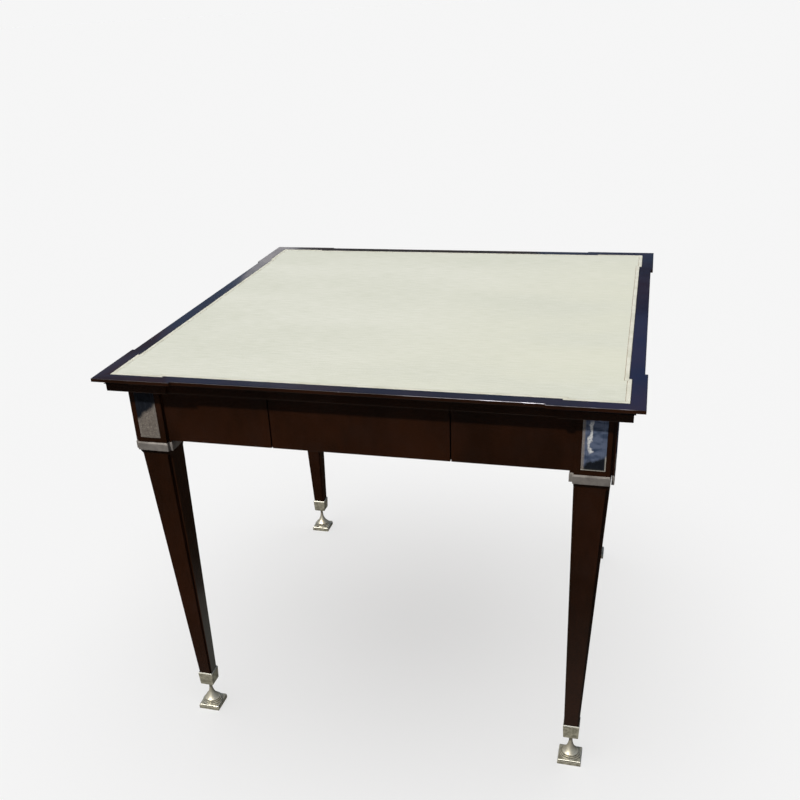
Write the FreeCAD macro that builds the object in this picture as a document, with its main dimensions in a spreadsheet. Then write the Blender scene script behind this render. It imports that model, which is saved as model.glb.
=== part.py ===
import FreeCAD, Part
import math
import os
import Sketcher

# Square games table, lacquered wood with silvered metal mounts.
# Origin on the floor under the middle of the top, X to the right along the front, -Y to the
# front, +Z up, millimetres. The four sides and the four corners are alike, so each piece is
# drawn once for the front side or the front left corner and turned about the middle.

os.makedirs("parts", exist_ok=True)
doc = FreeCAD.newDocument("games_table")

# Driving sizes
SIZES = {
    # whole table
    "top_width": 900.0,
    "table_height": 756.0,
    # breaks: the small forward steps of the outline beside every corner
    "break_step": 4.5,
    "break_length": 144.3,
    # moulded edge of the top rails: squared lip, flat soffit, cove
    "lip_height": 6.0,
    "soffit_depth": 8.5,
    "cove_radius": 8.0,
    "frame_band": 23.4,
    "rebate_depth": 9.0,
    "top_rail_width": 85.0,
    # bearer frame under the moulded rails
    "bearer_thickness": 14.0,
    "bearer_width": 100.0,
    "bearer_round": 1.5,
    "bearer_overhang": 22.2,
    # lift-out playing panel
    "panel_clearance": 0.4,
    "lipping_width": 6.5,
    "leather_thickness": 1.0,
    "baize_thickness": 1.0,
    # aprons
    "apron_height": 100.0,
    "apron_thickness": 20.0,
    "drawer_opening": 310.0,
    "tenon_length": 20.0,
    "tenon_thickness": 8.0,
    "tenon_shoulder": 14.0,
    # leg blocks and shafts
    "block_width": 67.6,
    "block_drop": 3.0,
    "corner_notch": 6.0,
    "leg_top_width": 57.0,
    "leg_top_inset": 4.5,
    "leg_bottom_width": 27.4,
    "leg_end_width": 25.6,
    "notch_start": 4.0,
    "notch_run": 8.0,
    "notch_bottom": 3.0,
    "notch_seed": 0.2,
    # collars
    "collar_height": 15.7,
    "collar_projection": 1.2,
    "collar_bevel": 3.0,
    "collar_clearance": 0.3,
    # plaques
    "plaque_width": 37.6,
    "plaque_height": 90.0,
    "plaque_thickness": 2.5,
    "plaque_recess": 1.0,
    "plaque_shift": 1.5,
    "plaque_lift": 2.7,
    "plaque_bevel": 5.0,
    "plaque_bevel_depth": 0.8,
    # caps on the leg ends
    "foot_inset": 42.6,
    "foot_height": 59.0,
    "sabot_height": 30.5,
    "sabot_floor": 4.0,
    "sabot_top_width": 30.0,
    "sabot_low_width": 27.6,
    "sabot_rim": 2.0,
    "sabot_chamfer": 2.0,
    "sabot_clearance": 0.1,
    # feet
    "plinth_width": 43.5,
    "plinth_height": 7.0,
    "plinth_groove": 1.0,
    "plinth_groove_depth": 1.2,
    "plinth_cap_height": 2.4,
    "low_ring_radius": 20.0,
    "low_ring_height": 3.0,
    "middle_ring_radius": 17.6,
    "middle_ring_height": 2.5,
    "high_ring_radius": 15.4,
    "high_ring_height": 2.5,
    "bell_radius": 14.6,
    "bell_curve_radius": 42.0,
    "neck_radius": 3.2,
    "neck_top_drop": 4.0,
    "neck_length": 9.0,
    "neck_seat_radius": 4.2,
    "stud_radius": 2.4,
    "stud_length": 26.0,
    "stud_clearance": 0.1,
    # cross rails, runner bars, guides and stops
    "rail_drop": 83.0,
    "rail_thickness": 15.0,
    "rail_width": 25.0,
    "finger_gap": 13.0,
    "rail_tenon_length": 12.0,
    "rail_tenon_width": 11.0,
    "rail_tenon_thickness": 9.0,
    "bar_width": 34.0,
    "bar_housing": 10.0,
    "guide_width": 15.0,
    "guide_height": 12.0,
    "guide_clearance": 0.8,
    "stop_length": 14.0,
    "stop_height": 20.0,
    # drawers
    "drawer_gap": 1.5,
    "drawer_top_gap": 1.5,
    "front_housing": 8.0,
    "box_margin": 7.0,
    "crossing_gap": 1.5,
    "side_thickness": 12.0,
    "side_height": 68.0,
    "bottom_thickness": 5.0,
    "bottom_groove": 6.0,
    "bottom_height": 8.0,
    "pull_radius": 7.0,
    "pull_length": 220.0,
    "pull_height": 9.0,
    # how far cutting shapes reach past what they cut
    "overrun": 10.0,
}

sheet = doc.addObject("Spreadsheet::Sheet", "Sizes")
for row, (alias, number) in enumerate(SIZES.items(), start=1):
    sheet.set("A%d" % row, alias.replace("_", " "))
    sheet.set("B%d" % row, str(number))
    sheet.setAlias("B%d" % row, alias)
doc.recompute()


class Size:
    """A length that knows its number and the formula that ties it to the sheet."""

    def __init__(self, text, value):
        self.text = text
        self.value = value

    def __add__(self, other):
        return Size("(%s + %s)" % (self.text, other.text), self.value + other.value)

    def __sub__(self, other):
        return Size("(%s - %s)" % (self.text, other.text), self.value - other.value)

    def __neg__(self):
        return Size("(-1 * %s)" % self.text, -self.value)

    def __mul__(self, count):
        return Size("(%s * %s)" % (self.text, count), self.value * count)

    def __truediv__(self, other):
        if isinstance(other, Size):
            return self.value / other.value
        return Size("(%s / %s)" % (self.text, other), self.value / other)


def size(alias):
    return Size("Sizes." + alias, float(sheet.get(alias)))


NOTHING = Size("0", 0.0)

# Places worked out from the sizes
overrun = size("overrun")
half = size("top_width") / 2
top = size("table_height")
step = size("break_step")
break_place = half - size("break_length")
lip = size("lip_height")
soffit = size("soffit_depth")
cove = size("cove_radius")
edge_inset = soffit + cove
band = size("frame_band")
top_low = top - lip - cove
rail_inner = half - size("top_rail_width")
inlay_half = half - band
inlay_place = break_place + band
rebate_low = top - size("rebate_depth")

bearer_half = half - edge_inset
bearer_place = break_place + edge_inset
bearer_inner = bearer_half - size("bearer_width")
bearer_low = top_low - size("bearer_thickness")

notch = size("corner_notch")
block_outer = bearer_half - size("bearer_overhang")
block_inner = block_outer - size("block_width")
apron_face = block_outer - notch
apron_back = apron_face - size("apron_thickness")
apron_low = bearer_low - size("apron_height")
block_low = apron_low - size("block_drop")
collar_low = block_low - size("collar_height")
opening_half = size("drawer_opening") / 2

foot_centre = block_outer - size("foot_inset")
foot_top = size("foot_height")
sabot_top = foot_top + size("sabot_height")
leg_end = foot_top + size("sabot_floor")

rail_top = bearer_low - size("rail_drop")
rail_low = rail_top - size("rail_thickness")
rail_face = apron_back - size("finger_gap")
rail_back = rail_face - size("rail_width")

box_half = opening_half - size("box_margin")
side_thickness = size("side_thickness")
guide_inner = box_half + size("guide_clearance")
guide_outer = guide_inner + size("guide_width")
bar_outer = guide_outer
box_back = guide_outer + size("crossing_gap")
bar_inner = bar_outer - size("bar_width")

SIDES = {"front": 0, "right": 90, "back": 180, "left": 270}
CORNERS = {"front_left": 0, "front_right": 90, "back_right": 180, "back_left": 270}
UP = FreeCAD.Vector(0, 0, 1)


# Small helpers for sketches, solids and places

def turned(item, angle):
    """Turn a piece about the middle of the table."""
    item.Placement = FreeCAD.Placement(FreeCAD.Vector(), FreeCAD.Rotation(UP, angle))
    return item


def tie(item, name, length):
    """Set a property and tie it to its formula."""
    item.setExpression(name, length.text)


def new_body(label):
    body = doc.addObject("PartDesign::Body", label)
    body.Label = label
    return body


def origin_plane(body, role):
    for feature in body.Origin.OriginFeatures:
        if feature.Role == role:
            return feature
    raise ValueError("no plane " + role)


def blank_sketch(body, role, name, height):
    sketch = body.newObject("Sketcher::SketchObject", name)
    sketch.AttachmentSupport = [(origin_plane(body, role), "")]
    sketch.MapMode = "FlatFace"
    if height is not NOTHING:
        sketch.AttachmentOffset = FreeCAD.Placement(UP * height.value, FreeCAD.Rotation())
        tie(sketch, "AttachmentOffset.Base.z", height)
    return sketch


def hold_point(sketch, edge, end, place):
    """Tie one end of a sketch edge to its two coordinates."""
    for kind, axis, length in (("DistanceX", -2, place[0]), ("DistanceY", -1, place[1])):
        if length is NOTHING:
            sketch.addConstraint(Sketcher.Constraint("PointOnObject", edge, end, axis))
            continue
        number = sketch.addConstraint(Sketcher.Constraint(kind, -1, 1, edge, end, length.value))
        sketch.setExpression("Constraints[%d]" % number, length.text)


def arc_through(start, end, radius, side):
    """Arc of a given radius; side +1 bows to the right of the way from start to end."""
    chord = end - start
    middle = (start + end) * 0.5
    right = FreeCAD.Vector(chord.y, -chord.x, 0).normalize()
    rise = radius - math.sqrt(radius ** 2 - (chord.Length / 2) ** 2)
    ends = (start, end) if side > 0 else (end, start)
    return Part.Arc(ends[0], middle + right * (rise * side), ends[1])


def draw_outline(body, role, name, corners, height=NOTHING, arcs=None):
    """A closed outline; arcs maps the number of an edge to its radius and the side it bows to."""
    arcs = arcs or {}
    sketch = blank_sketch(body, role, name, height)
    points = [FreeCAD.Vector(x.value, y.value, 0) for x, y in corners]
    count = len(points)
    for number in range(count):
        start, end = points[number], points[(number + 1) % count]
        if number in arcs:
            radius, side = arcs[number]
            sketch.addGeometry(arc_through(start, end, radius.value, side))
        else:
            sketch.addGeometry(Part.LineSegment(start, end))
    first_ends = []
    for number in range(count):
        geometry = sketch.Geometry[number]
        gap = geometry.StartPoint.distanceToPoint(points[number])
        flipped = gap > geometry.EndPoint.distanceToPoint(points[number])
        first_ends.append((2, 1) if flipped else (1, 2))
    for number in range(count):
        following = (number + 1) % count
        ends = (first_ends[number][1], first_ends[following][0])
        sketch.addConstraint(Sketcher.Constraint("Coincident", number, ends[0], following, ends[1]))
        hold_point(sketch, number, first_ends[number][0], corners[number])
        if number in arcs:
            radius = arcs[number][0]
            index = sketch.addConstraint(Sketcher.Constraint("Radius", number, radius.value))
            sketch.setExpression("Constraints[%d]" % index, radius.text)
    return sketch


def draw_circle(body, role, name, centre, radius, height=NOTHING):
    sketch = blank_sketch(body, role, name, height)
    middle = FreeCAD.Vector(centre[0].value, centre[1].value, 0)
    sketch.addGeometry(Part.Circle(middle, UP, radius.value))
    hold_point(sketch, 0, 3, centre)
    index = sketch.addConstraint(Sketcher.Constraint("Radius", 0, radius.value))
    sketch.setExpression("Constraints[%d]" % index, radius.text)
    return sketch


def rectangle(low, high):
    return [(low[0], low[1]), (high[0], low[1]), (high[0], high[1]), (low[0], high[1])]


def pad(body, sketch, length, both_ways=False):
    feature = body.newObject("PartDesign::Pad", sketch.Name + "_pad")
    feature.Profile = sketch
    feature.Length = length.value
    tie(feature, "Length", length)
    feature.Midplane = both_ways
    doc.recompute()
    return feature


def pocket(body, sketch, length=None, other_way=False):
    """Cut to a depth, or right through both ways when no depth is given."""
    before = body.Shape.Volume
    feature = body.newObject("PartDesign::Pocket", sketch.Name + "_pocket")
    feature.Profile = sketch
    if length is None:
        feature.Type = "ThroughAll"
        feature.Midplane = True
    else:
        feature.Length = length.value
        tie(feature, "Length", length)
        feature.Reversed = other_way
    doc.recompute()
    if not body.Shape.Volume < before:
        raise RuntimeError(feature.Name + " cuts nothing")
    return feature


def loft(body, sketches, cutting=False):
    kind = "PartDesign::SubtractiveLoft" if cutting else "PartDesign::AdditiveLoft"
    feature = body.newObject(kind, sketches[0].Name + "_loft")
    feature.Profile = sketches[0]
    feature.Sections = sketches[1:]
    feature.Ruled = True
    doc.recompute()
    return feature


def block(label, low, high):
    """A box between two opposite corners."""
    item = doc.addObject("Part::Box", label)
    for name, number in (("Length", 0), ("Width", 1), ("Height", 2)):
        tie(item, name, high[number] - low[number])
    for name, number in (("x", 0), ("y", 1), ("z", 2)):
        tie(item, "Placement.Base." + name, low[number])
    return item


def mirrored_block(label, low, high):
    """The same box on the other side of the middle line."""
    return block(label, (-high[0], low[1], low[2]), (-low[0], high[1], high[2]))


def cut(label, base, tools):
    """One solid less one or more others."""
    tool = tools[0]
    if len(tools) > 1:
        tool = doc.addObject("Part::MultiFuse", label + "_tools")
        tool.Shapes = tools
    item = doc.addObject("Part::Cut", label)
    item.Base = base
    item.Tool = tool
    doc.recompute()
    if not item.Shape.Volume < base.Shape.Volume:
        raise RuntimeError(label + " is not cut")
    return item


def joined(label, items):
    item = doc.addObject("Part::MultiFuse", label)
    item.Shapes = items
    return item


def group(label, items):
    """Like pieces kept as separate solids under one name."""
    item = doc.addObject("Part::Compound", label)
    item.Links = items
    return item


# Outlines that several pieces share

def broken_front(corner, place, back):
    """Front edge with a break beside each corner, mitred towards the back."""
    return [(-corner, -corner), (-place, -corner), (-place, -corner + step),
            (place, -corner + step), (place, -corner), (corner, -corner),
            (back, -back), (-back, -back)]


def broken_square(corner, place):
    """The whole outline of the top, with a break on both sides of every corner."""
    quarter = [(-corner, -corner), (-place, -corner), (-place, -corner + step),
               (place, -corner + step), (place, -corner)]
    outline = []
    for turn in range(4):
        for x, y in quarter:
            for _ in range(turn):
                x, y = -y, x
            outline.append((x, y))
    return outline


def notched_square(low, high, depth):
    """A square with a small square notch at each corner; both axes run from low to high."""
    near, far = low + depth, high - depth
    return [(near, low), (far, low), (far, near), (high, near), (high, far), (far, far),
            (far, high), (near, high), (near, far), (low, far), (low, near), (near, near)]


# Top frame: moulded rails with a rebate for the panel

def edge_section(face):
    """Section of a rail: lip, soffit and cove outside, plain inside. Across is Y, up is Z."""
    return [(-rail_inner, top), (-rail_inner, top_low), (-face + edge_inset, top_low),
            (-face + soffit, top - lip), (-face, top - lip), (-face, top)]


def top_rail(side, angle):
    label = "top_rail_" + side
    body = new_body(label)
    section = draw_outline(body, "YZ_Plane", label + "_corner", edge_section(half), arcs={2: (cove, 1)})
    pad(body, section, half * 2, both_ways=True)
    middle = [(-break_place, top + overrun), (-break_place, top - lip),
              (-break_place - soffit, top - lip), (-break_place - edge_inset, top_low),
              (-break_place - edge_inset, top_low - overrun),
              (break_place + edge_inset, top_low - overrun), (break_place + edge_inset, top_low),
              (break_place + soffit, top - lip), (break_place, top - lip),
              (break_place, top + overrun)]
    gap = draw_outline(body, "XZ_Plane", label + "_gap", middle, arcs={2: (cove, 1), 6: (cove, 1)})
    pocket(body, gap)
    section = draw_outline(body, "YZ_Plane", label + "_middle", edge_section(half - step),
                           arcs={2: (cove, 1)})
    pad(body, section, half * 2, both_ways=True)
    outside, inside = half + overrun, rail_inner - overrun
    for name, sign in (("left", 1), ("right", -1)):
        corners = [(-outside * sign, -outside), (-inside * sign, -inside), (-outside * sign, -inside)]
        pocket(body, draw_outline(body, "XY_Plane", label + "_mitre_" + name, corners))
    rebate = [(-inlay_half, -inlay_half), (-inlay_place, -inlay_half),
              (-inlay_place, -inlay_half + step), (inlay_place, -inlay_half + step),
              (inlay_place, -inlay_half), (inlay_half, -inlay_half),
              (inlay_half, -inside), (-inlay_half, -inside)]
    pocket(body, draw_outline(body, "XY_Plane", label + "_rebate", rebate, top), size("rebate_depth"))
    return turned(body, angle)


# Bearer frame: the plain band under the moulded rails

def top_bearer(side, angle):
    label = "top_bearer_" + side
    body = new_body(label)
    outline = broken_front(bearer_half, bearer_place, bearer_inner)
    pad(body, draw_outline(body, "XY_Plane", label + "_plan", outline, bearer_low),
        size("bearer_thickness"))
    front_edges = []
    reach = -(bearer_half - step).value
    plain = body.Tip
    for number, edge in enumerate(plain.Shape.Edges, start=1):
        low = all(abs(v.Z - bearer_low.value) < Part.Precision.confusion() for v in edge.Vertexes)
        outer = all(v.Y < reach + Part.Precision.confusion() for v in edge.Vertexes)
        if low and outer:
            front_edges.append("Edge%d" % number)
    rounding = body.newObject("PartDesign::Fillet", label + "_round")
    rounding.Base = (plain, front_edges)
    rounding.Radius = size("bearer_round").value
    tie(rounding, "Radius", size("bearer_round"))
    doc.recompute()
    return turned(body, angle)


# Playing panel: core with lipping, leather above and baize below

panel_half = inlay_half - size("panel_clearance")
panel_place = inlay_place + size("panel_clearance")
field_half = panel_half - size("lipping_width")
field_place = panel_place + size("lipping_width")
baize_top = rebate_low + size("baize_thickness")
leather_low = top - size("leather_thickness")


def panel_layer(label, low, high):
    body = new_body(label)
    sketch = draw_outline(body, "XY_Plane", label + "_plan", broken_square(field_half, field_place), low)
    pad(body, sketch, high - low)
    return body


def panel_lipping():
    """Four mitred strips round the core, leather and baize."""
    strips = []
    for side, angle in SIDES.items():
        label = "lipping_strip_" + side
        body = new_body(label)
        outline = [(-panel_half, -panel_half), (-panel_place, -panel_half),
                   (-panel_place, -panel_half + step), (panel_place, -panel_half + step),
                   (panel_place, -panel_half), (panel_half, -panel_half),
                   (field_half, -field_half), (field_place, -field_half),
                   (field_place, -field_half + step), (-field_place, -field_half + step),
                   (-field_place, -field_half), (-field_half, -field_half)]
        sketch = draw_outline(body, "XY_Plane", label + "_plan", outline, rebate_low)
        pad(body, sketch, size("rebate_depth"))
        strips.append(turned(body, angle))
    return group("panel_lipping", strips)


# Aprons: two fixed panels to a side, tenoned into the leg blocks

tenon = size("tenon_length")
shoulder = size("tenon_shoulder")
tenon_face = apron_face - size("apron_thickness") / 2 + size("tenon_thickness") / 2
tenon_back = tenon_face - size("tenon_thickness")


def apron_panel(side, hand, angle):
    label = "apron_%s_%s" % (side, hand)
    make = block if hand == "left" else mirrored_block
    board = make(label + "_board", (-block_inner, -apron_face, apron_low),
                 (-opening_half, -apron_back, bearer_low))
    peg = make(label + "_tenon", (-block_inner - tenon, -tenon_face, apron_low + shoulder),
               (-block_inner, -tenon_back, bearer_low - shoulder))
    return turned(joined(label, [board, peg]), angle)


# Cross rails between the legs, behind the aprons

rail_peg_face = rail_face - size("rail_tenon_width") / 5
rail_peg_back = rail_peg_face - size("rail_tenon_width")
rail_peg_rise = (size("rail_thickness") - size("rail_tenon_thickness")) / 2
rail_peg = size("rail_tenon_length")


def cross_rail(side, angle):
    label = "cross_rail_" + side
    bar = block(label + "_bar", (-block_inner, -rail_face, rail_low), (block_inner, -rail_back, rail_top))
    housings = []
    for name, make in (("left", block), ("right", mirrored_block)):
        low = (-bar_outer, -rail_back - size("bar_housing"), rail_low - overrun)
        high = (-bar_inner, -rail_back + overrun, rail_top + overrun)
        housings.append(make(label + "_housing_" + name, low, high))
    pegs = []
    for name, make in (("left", block), ("right", mirrored_block)):
        low = (-block_inner - rail_peg, -rail_peg_face, rail_low + rail_peg_rise)
        high = (-block_inner, -rail_peg_back, rail_top - rail_peg_rise)
        pegs.append(make(label + "_tenon_" + name, low, high))
    return turned(joined(label, [cut(label + "_notched", bar, housings)] + pegs), angle)


# Runner bars: two each way, half lapped where they cross, housed in the cross rails

def runner_bars():
    reach = rail_back + size("bar_housing")
    middle = rail_top - size("rail_thickness") / 2
    bars = []
    for way, angle, lap_low, lap_high in (("deep", 0, middle, rail_top + overrun),
                                          ("wide", 90, rail_low - overrun, middle)):
        for hand, make in (("left", block), ("right", mirrored_block)):
            label = "runner_bar_%s_%s" % (way, hand)
            bar = make(label + "_blank", (-bar_outer, -reach, rail_low), (-bar_inner, reach, rail_top))
            laps = []
            for end, low_y, high_y in (("near", -bar_outer, -bar_inner), ("far", bar_inner, bar_outer)):
                low = (-bar_outer - overrun, low_y, lap_low)
                high = (-bar_inner + overrun, high_y, lap_high)
                laps.append(make(label + "_lap_" + end, low, high))
            bars.append(turned(cut(label, bar, laps), angle))
    return group("runner_bars", bars)


def drawer_guides():
    """Strips on the bars that keep each drawer straight."""
    strips = []
    for side, angle in SIDES.items():
        for hand, make in (("left", block), ("right", mirrored_block)):
            label = "guide_%s_%s" % (side, hand)
            strip = make(label + "_strip", (-guide_outer, -rail_back, rail_top),
                         (-guide_inner, -box_back, rail_top + size("guide_height")))
            strips.append(turned(group(label, [strip]), angle))
    return group("drawer_guides", strips)


def drawer_stops():
    """Blocks behind each drawer that set its closed place."""
    stops = []
    for side, angle in SIDES.items():
        for hand, make in (("left", block), ("right", mirrored_block)):
            label = "stop_%s_%s" % (side, hand)
            stop = make(label + "_block", (-box_half, -box_back, rail_top),
                        (-box_half + side_thickness, -box_back + size("stop_length"),
                         rail_top + size("stop_height")))
            stops.append(turned(group(label, [stop]), angle))
    return group("drawer_stops", stops)


# Legs: notched corner block, tapered shaft, mortises, plaque recesses and stud bore

leg_top_low = -block_outer + size("leg_top_inset")
leg_top_high = leg_top_low + size("leg_top_width")
leg_foot_low = -foot_centre - size("leg_bottom_width") / 2
leg_foot_high = -foot_centre + size("leg_bottom_width") / 2
leg_end_low = -foot_centre - size("leg_end_width") / 2
leg_end_high = -foot_centre + size("leg_end_width") / 2
plaque_middle = -(block_outer + block_inner) / 2 - size("plaque_shift")
plaque_low_x = plaque_middle - size("plaque_width") / 2
plaque_high_x = plaque_middle + size("plaque_width") / 2
plaque_centre = (block_low + bearer_low) / 2 + size("plaque_lift")
plaque_low_z = plaque_centre - size("plaque_height") / 2
plaque_high_z = plaque_centre + size("plaque_height") / 2


def along_taper(height):
    """The two sides of the shaft at a height between the collar and the cap."""
    share = (collar_low - height) / (collar_low - sabot_top)
    return (leg_top_low + (leg_foot_low - leg_top_low) * share,
            leg_top_high + (leg_foot_high - leg_top_high) * share)


def mortise(body, name, low, high, depth):
    """One mortise in each of the two inner faces of the block."""
    for role, face, other_way in (("YZ_Plane", -block_inner, False), ("XZ_Plane", block_inner, True)):
        outline = rectangle((low[0], low[1]), (high[0], high[1]))
        sketch = draw_outline(body, role, "%s_%s_%s" % (body.Label, name, role[:2].lower()), outline, face)
        pocket(body, sketch, depth, other_way)


def leg(corner, angle):
    label = "leg_" + corner
    body = new_body(label)
    outline = notched_square(-block_outer, -block_inner, notch)
    pad(body, draw_outline(body, "XY_Plane", label + "_block", outline, block_low), bearer_low - block_low)
    stop_high = collar_low - size("notch_start")
    stop_low = stop_high - size("notch_run")
    levels = [(block_low, size("notch_seed")), (stop_high, size("notch_seed")), (stop_low, notch),
              (sabot_top, size("notch_bottom"))]
    sketches = []
    for number, (height, depth) in enumerate(levels):
        low, high = along_taper(height)
        sketches.append(draw_outline(body, "XY_Plane", "%s_shaft_%d" % (label, number),
                                     notched_square(low, high, depth), height))
    end = notched_square(leg_end_low, leg_end_high, size("notch_bottom"))
    sketches.append(draw_outline(body, "XY_Plane", label + "_shaft_end", end, leg_end))
    loft(body, sketches)
    mortise(body, "apron_mortise", (-tenon_face, apron_low + shoulder),
            (-tenon_back, bearer_low - shoulder), tenon)
    mortise(body, "rail_mortise", (-rail_peg_face, rail_low + rail_peg_rise),
            (-rail_peg_back, rail_top - rail_peg_rise), rail_peg)
    for role, face, other_way in (("XZ_Plane", block_outer, False), ("YZ_Plane", -block_outer, True)):
        outline = rectangle((plaque_low_x, plaque_low_z), (plaque_high_x, plaque_high_z))
        sketch = draw_outline(body, role, label + "_recess_" + role[:2].lower(), outline, face)
        pocket(body, sketch, size("plaque_recess"), other_way)
    bore = size("stud_radius") + size("stud_clearance")
    hole = draw_circle(body, "XY_Plane", label + "_bore", (-foot_centre, -foot_centre), bore, leg_end)
    pocket(body, hole, size("stud_length") - size("sabot_floor"), other_way=True)
    return turned(body, angle)


# Collars, plaques and caps

def leg_collar(corner, angle):
    label = "leg_collar_" + corner
    body = new_body(label)
    spread = size("collar_projection")
    wide = notched_square(-block_outer - spread, -block_inner + spread, notch)
    narrow = notched_square(-block_outer, -block_inner, notch)
    levels = [(collar_low, wide), (block_low - size("collar_bevel"), wide), (block_low, narrow)]
    loft(body, [draw_outline(body, "XY_Plane", "%s_%d" % (label, number), outline, height)
                for number, (height, outline) in enumerate(levels)])
    low, high = along_taper(block_low)
    low, high = low - size("collar_clearance"), high + size("collar_clearance")
    pocket(body, draw_outline(body, "XY_Plane", label + "_hole", rectangle((low, low), (high, high)),
                              collar_low))
    return turned(body, angle)


def plaque_plate(label, role, face, other_way, angle):
    """A thin plate with a broad bevelled border, set in its recess."""
    body = new_body(label)
    sign = Size("-1", -1.0) if other_way else Size("1", 1.0)
    rise = [-size("plaque_recess"), size("plaque_thickness") - size("plaque_recess")
            - size("plaque_bevel_depth"), size("plaque_thickness") - size("plaque_recess")]
    trims = [NOTHING, NOTHING, size("plaque_bevel")]
    sketches = []
    for number, (lift, trim) in enumerate(zip(rise, trims)):
        outline = rectangle((plaque_low_x + trim, plaque_low_z + trim),
                            (plaque_high_x - trim, plaque_high_z - trim))
        height = face + (lift if sign.value > 0 else -lift)
        sketches.append(draw_outline(body, role, "%s_%d" % (label, number), outline, height))
    loft(body, sketches)
    return turned(body, angle)


def plaques():
    plates = []
    for corner, angle in CORNERS.items():
        plates.append(plaque_plate("plaque_%s_near" % corner, "XZ_Plane", block_outer, False, angle))
        plates.append(plaque_plate("plaque_%s_far" % corner, "YZ_Plane", -block_outer, True, angle))
    return group("plaques", plates)


def centred_square(width):
    low, high = -foot_centre - width / 2, -foot_centre + width / 2
    return rectangle((low, low), (high, high))


def leg_sabot(corner, angle):
    """Square cap that the leg's end stands in, with a bevelled rim."""
    label = "leg_sabot_" + corner
    body = new_body(label)
    rim_width = size("leg_bottom_width") + size("sabot_clearance") * 4
    levels = [(foot_top, size("sabot_low_width") - size("sabot_chamfer")),
              (foot_top + size("sabot_chamfer"), size("sabot_low_width")),
              (sabot_top - size("sabot_rim"), size("sabot_top_width")), (sabot_top, rim_width)]
    loft(body, [draw_outline(body, "XY_Plane", "%s_%d" % (label, number), centred_square(width), height)
                for number, (height, width) in enumerate(levels)])
    play = size("sabot_clearance") * 2
    loft(body, [draw_outline(body, "XY_Plane", label + "_floor", centred_square(size("leg_end_width") + play),
                             leg_end),
                draw_outline(body, "XY_Plane", label + "_mouth",
                             centred_square(size("leg_bottom_width") + play), sabot_top)], cutting=True)
    bore = size("stud_radius") + size("stud_clearance")
    pocket(body, draw_circle(body, "XY_Plane", label + "_bore", (-foot_centre, -foot_centre), bore, foot_top))
    return turned(body, angle)


# Feet: square plinth, stepped rings, bell, thin neck and screw stud, in one casting

def foot(corner, angle):
    label = "foot_" + corner
    body = new_body(label)
    plinth = size("plinth_height")
    groove_top = plinth + size("plinth_groove")
    plinth_top = groove_top + size("plinth_cap_height")
    depth = size("plinth_groove_depth")
    for name, low, high, width in (("base", NOTHING, plinth, size("plinth_width")),
                                   ("groove", plinth, groove_top, size("plinth_width") - depth * 2),
                                   ("cap", groove_top, plinth_top, size("plinth_width") - depth)):
        low_edge, high_edge = -width / 2, width / 2
        outline = rectangle((low_edge, low_edge), (high_edge, high_edge))
        sketch = draw_outline(body, "XY_Plane", "%s_%s" % (label, name), outline, low)
        pad(body, sketch, high - low if low is not NOTHING else high)
    first = plinth_top + size("low_ring_height")
    second = first + size("middle_ring_height")
    third = second + size("high_ring_height")
    neck_high = foot_top - size("neck_top_drop")
    neck_low = neck_high - size("neck_length")
    neck, stud_top = size("neck_radius"), foot_top + size("stud_length")
    profile = [(NOTHING, plinth), (size("low_ring_radius"), plinth), (size("low_ring_radius"), first),
               (size("middle_ring_radius"), first), (size("middle_ring_radius"), second),
               (size("high_ring_radius"), second), (size("high_ring_radius"), third),
               (size("bell_radius"), third), (neck, neck_low), (neck, neck_high),
               (size("neck_seat_radius"), foot_top), (size("stud_radius"), foot_top),
               (size("stud_radius"), stud_top), (NOTHING, stud_top)]
    turning = draw_outline(body, "XZ_Plane", label + "_turning", profile,
                           arcs={7: (size("bell_curve_radius"), -1)})
    feature = body.newObject("PartDesign::Revolution", label + "_turned")
    feature.Profile = turning
    feature.ReferenceAxis = (turning, ["V_Axis"])
    feature.Angle = 360
    doc.recompute()
    place = (-foot_centre, -foot_centre)
    for _ in range(angle // 90):
        place = (-place[1], place[0])
    tie(body, "Placement.Base.x", place[0])
    tie(body, "Placement.Base.y", place[1])
    return body


# Drawers: front with a finger grip behind its lower edge, two sides, back and bottom

front_half = opening_half - size("drawer_gap")
front_top = bearer_low - size("drawer_top_gap")
side_low = rail_top
side_top = side_low + size("side_height")
side_front = apron_back + size("front_housing")
bottom_low = side_low + size("bottom_height")
bottom_top = bottom_low + size("bottom_thickness")
groove = size("bottom_groove")


def drawer_front(side, angle):
    label = "drawer_front_" + side
    board = block(label + "_board", (-front_half, -apron_face, apron_low),
                  (front_half, -apron_back, front_top))
    tools = []
    for name, make in (("left", block), ("right", mirrored_block)):
        tools.append(make(label + "_housing_" + name, (-box_half, -side_front, side_low),
                          (-box_half + side_thickness, -apron_back + overrun, side_top)))
    inner = box_half - side_thickness
    tools.append(block(label + "_groove", (-inner, -apron_back - groove, bottom_low),
                       (inner, -apron_back + overrun, bottom_top)))
    grip = doc.addObject("Part::Cylinder", label + "_grip")
    tie(grip, "Radius", size("pull_radius"))
    tie(grip, "Height", size("pull_length"))
    grip.Placement.Rotation = FreeCAD.Rotation(FreeCAD.Vector(0, 1, 0), 90)
    tie(grip, "Placement.Base.x", -size("pull_length") / 2)
    tie(grip, "Placement.Base.y", -apron_back)
    tie(grip, "Placement.Base.z", apron_low + size("pull_height"))
    return turned(cut(label, board, tools + [grip]), angle)


def drawer_sides(side, angle):
    pieces = []
    for hand, make in (("left", block), ("right", mirrored_block)):
        label = "drawer_side_%s_%s" % (side, hand)
        board = make(label + "_board", (-box_half, -side_front, side_low),
                     (-box_half + side_thickness, -box_back, side_top))
        slot = make(label + "_slot", (-box_half + side_thickness - groove, -side_front - overrun, bottom_low),
                    (-box_half + side_thickness + overrun, -box_back + overrun, bottom_top))
        pieces.append(cut(label, board, [slot]))
    return turned(group("drawer_sides_" + side, pieces), angle)


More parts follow.
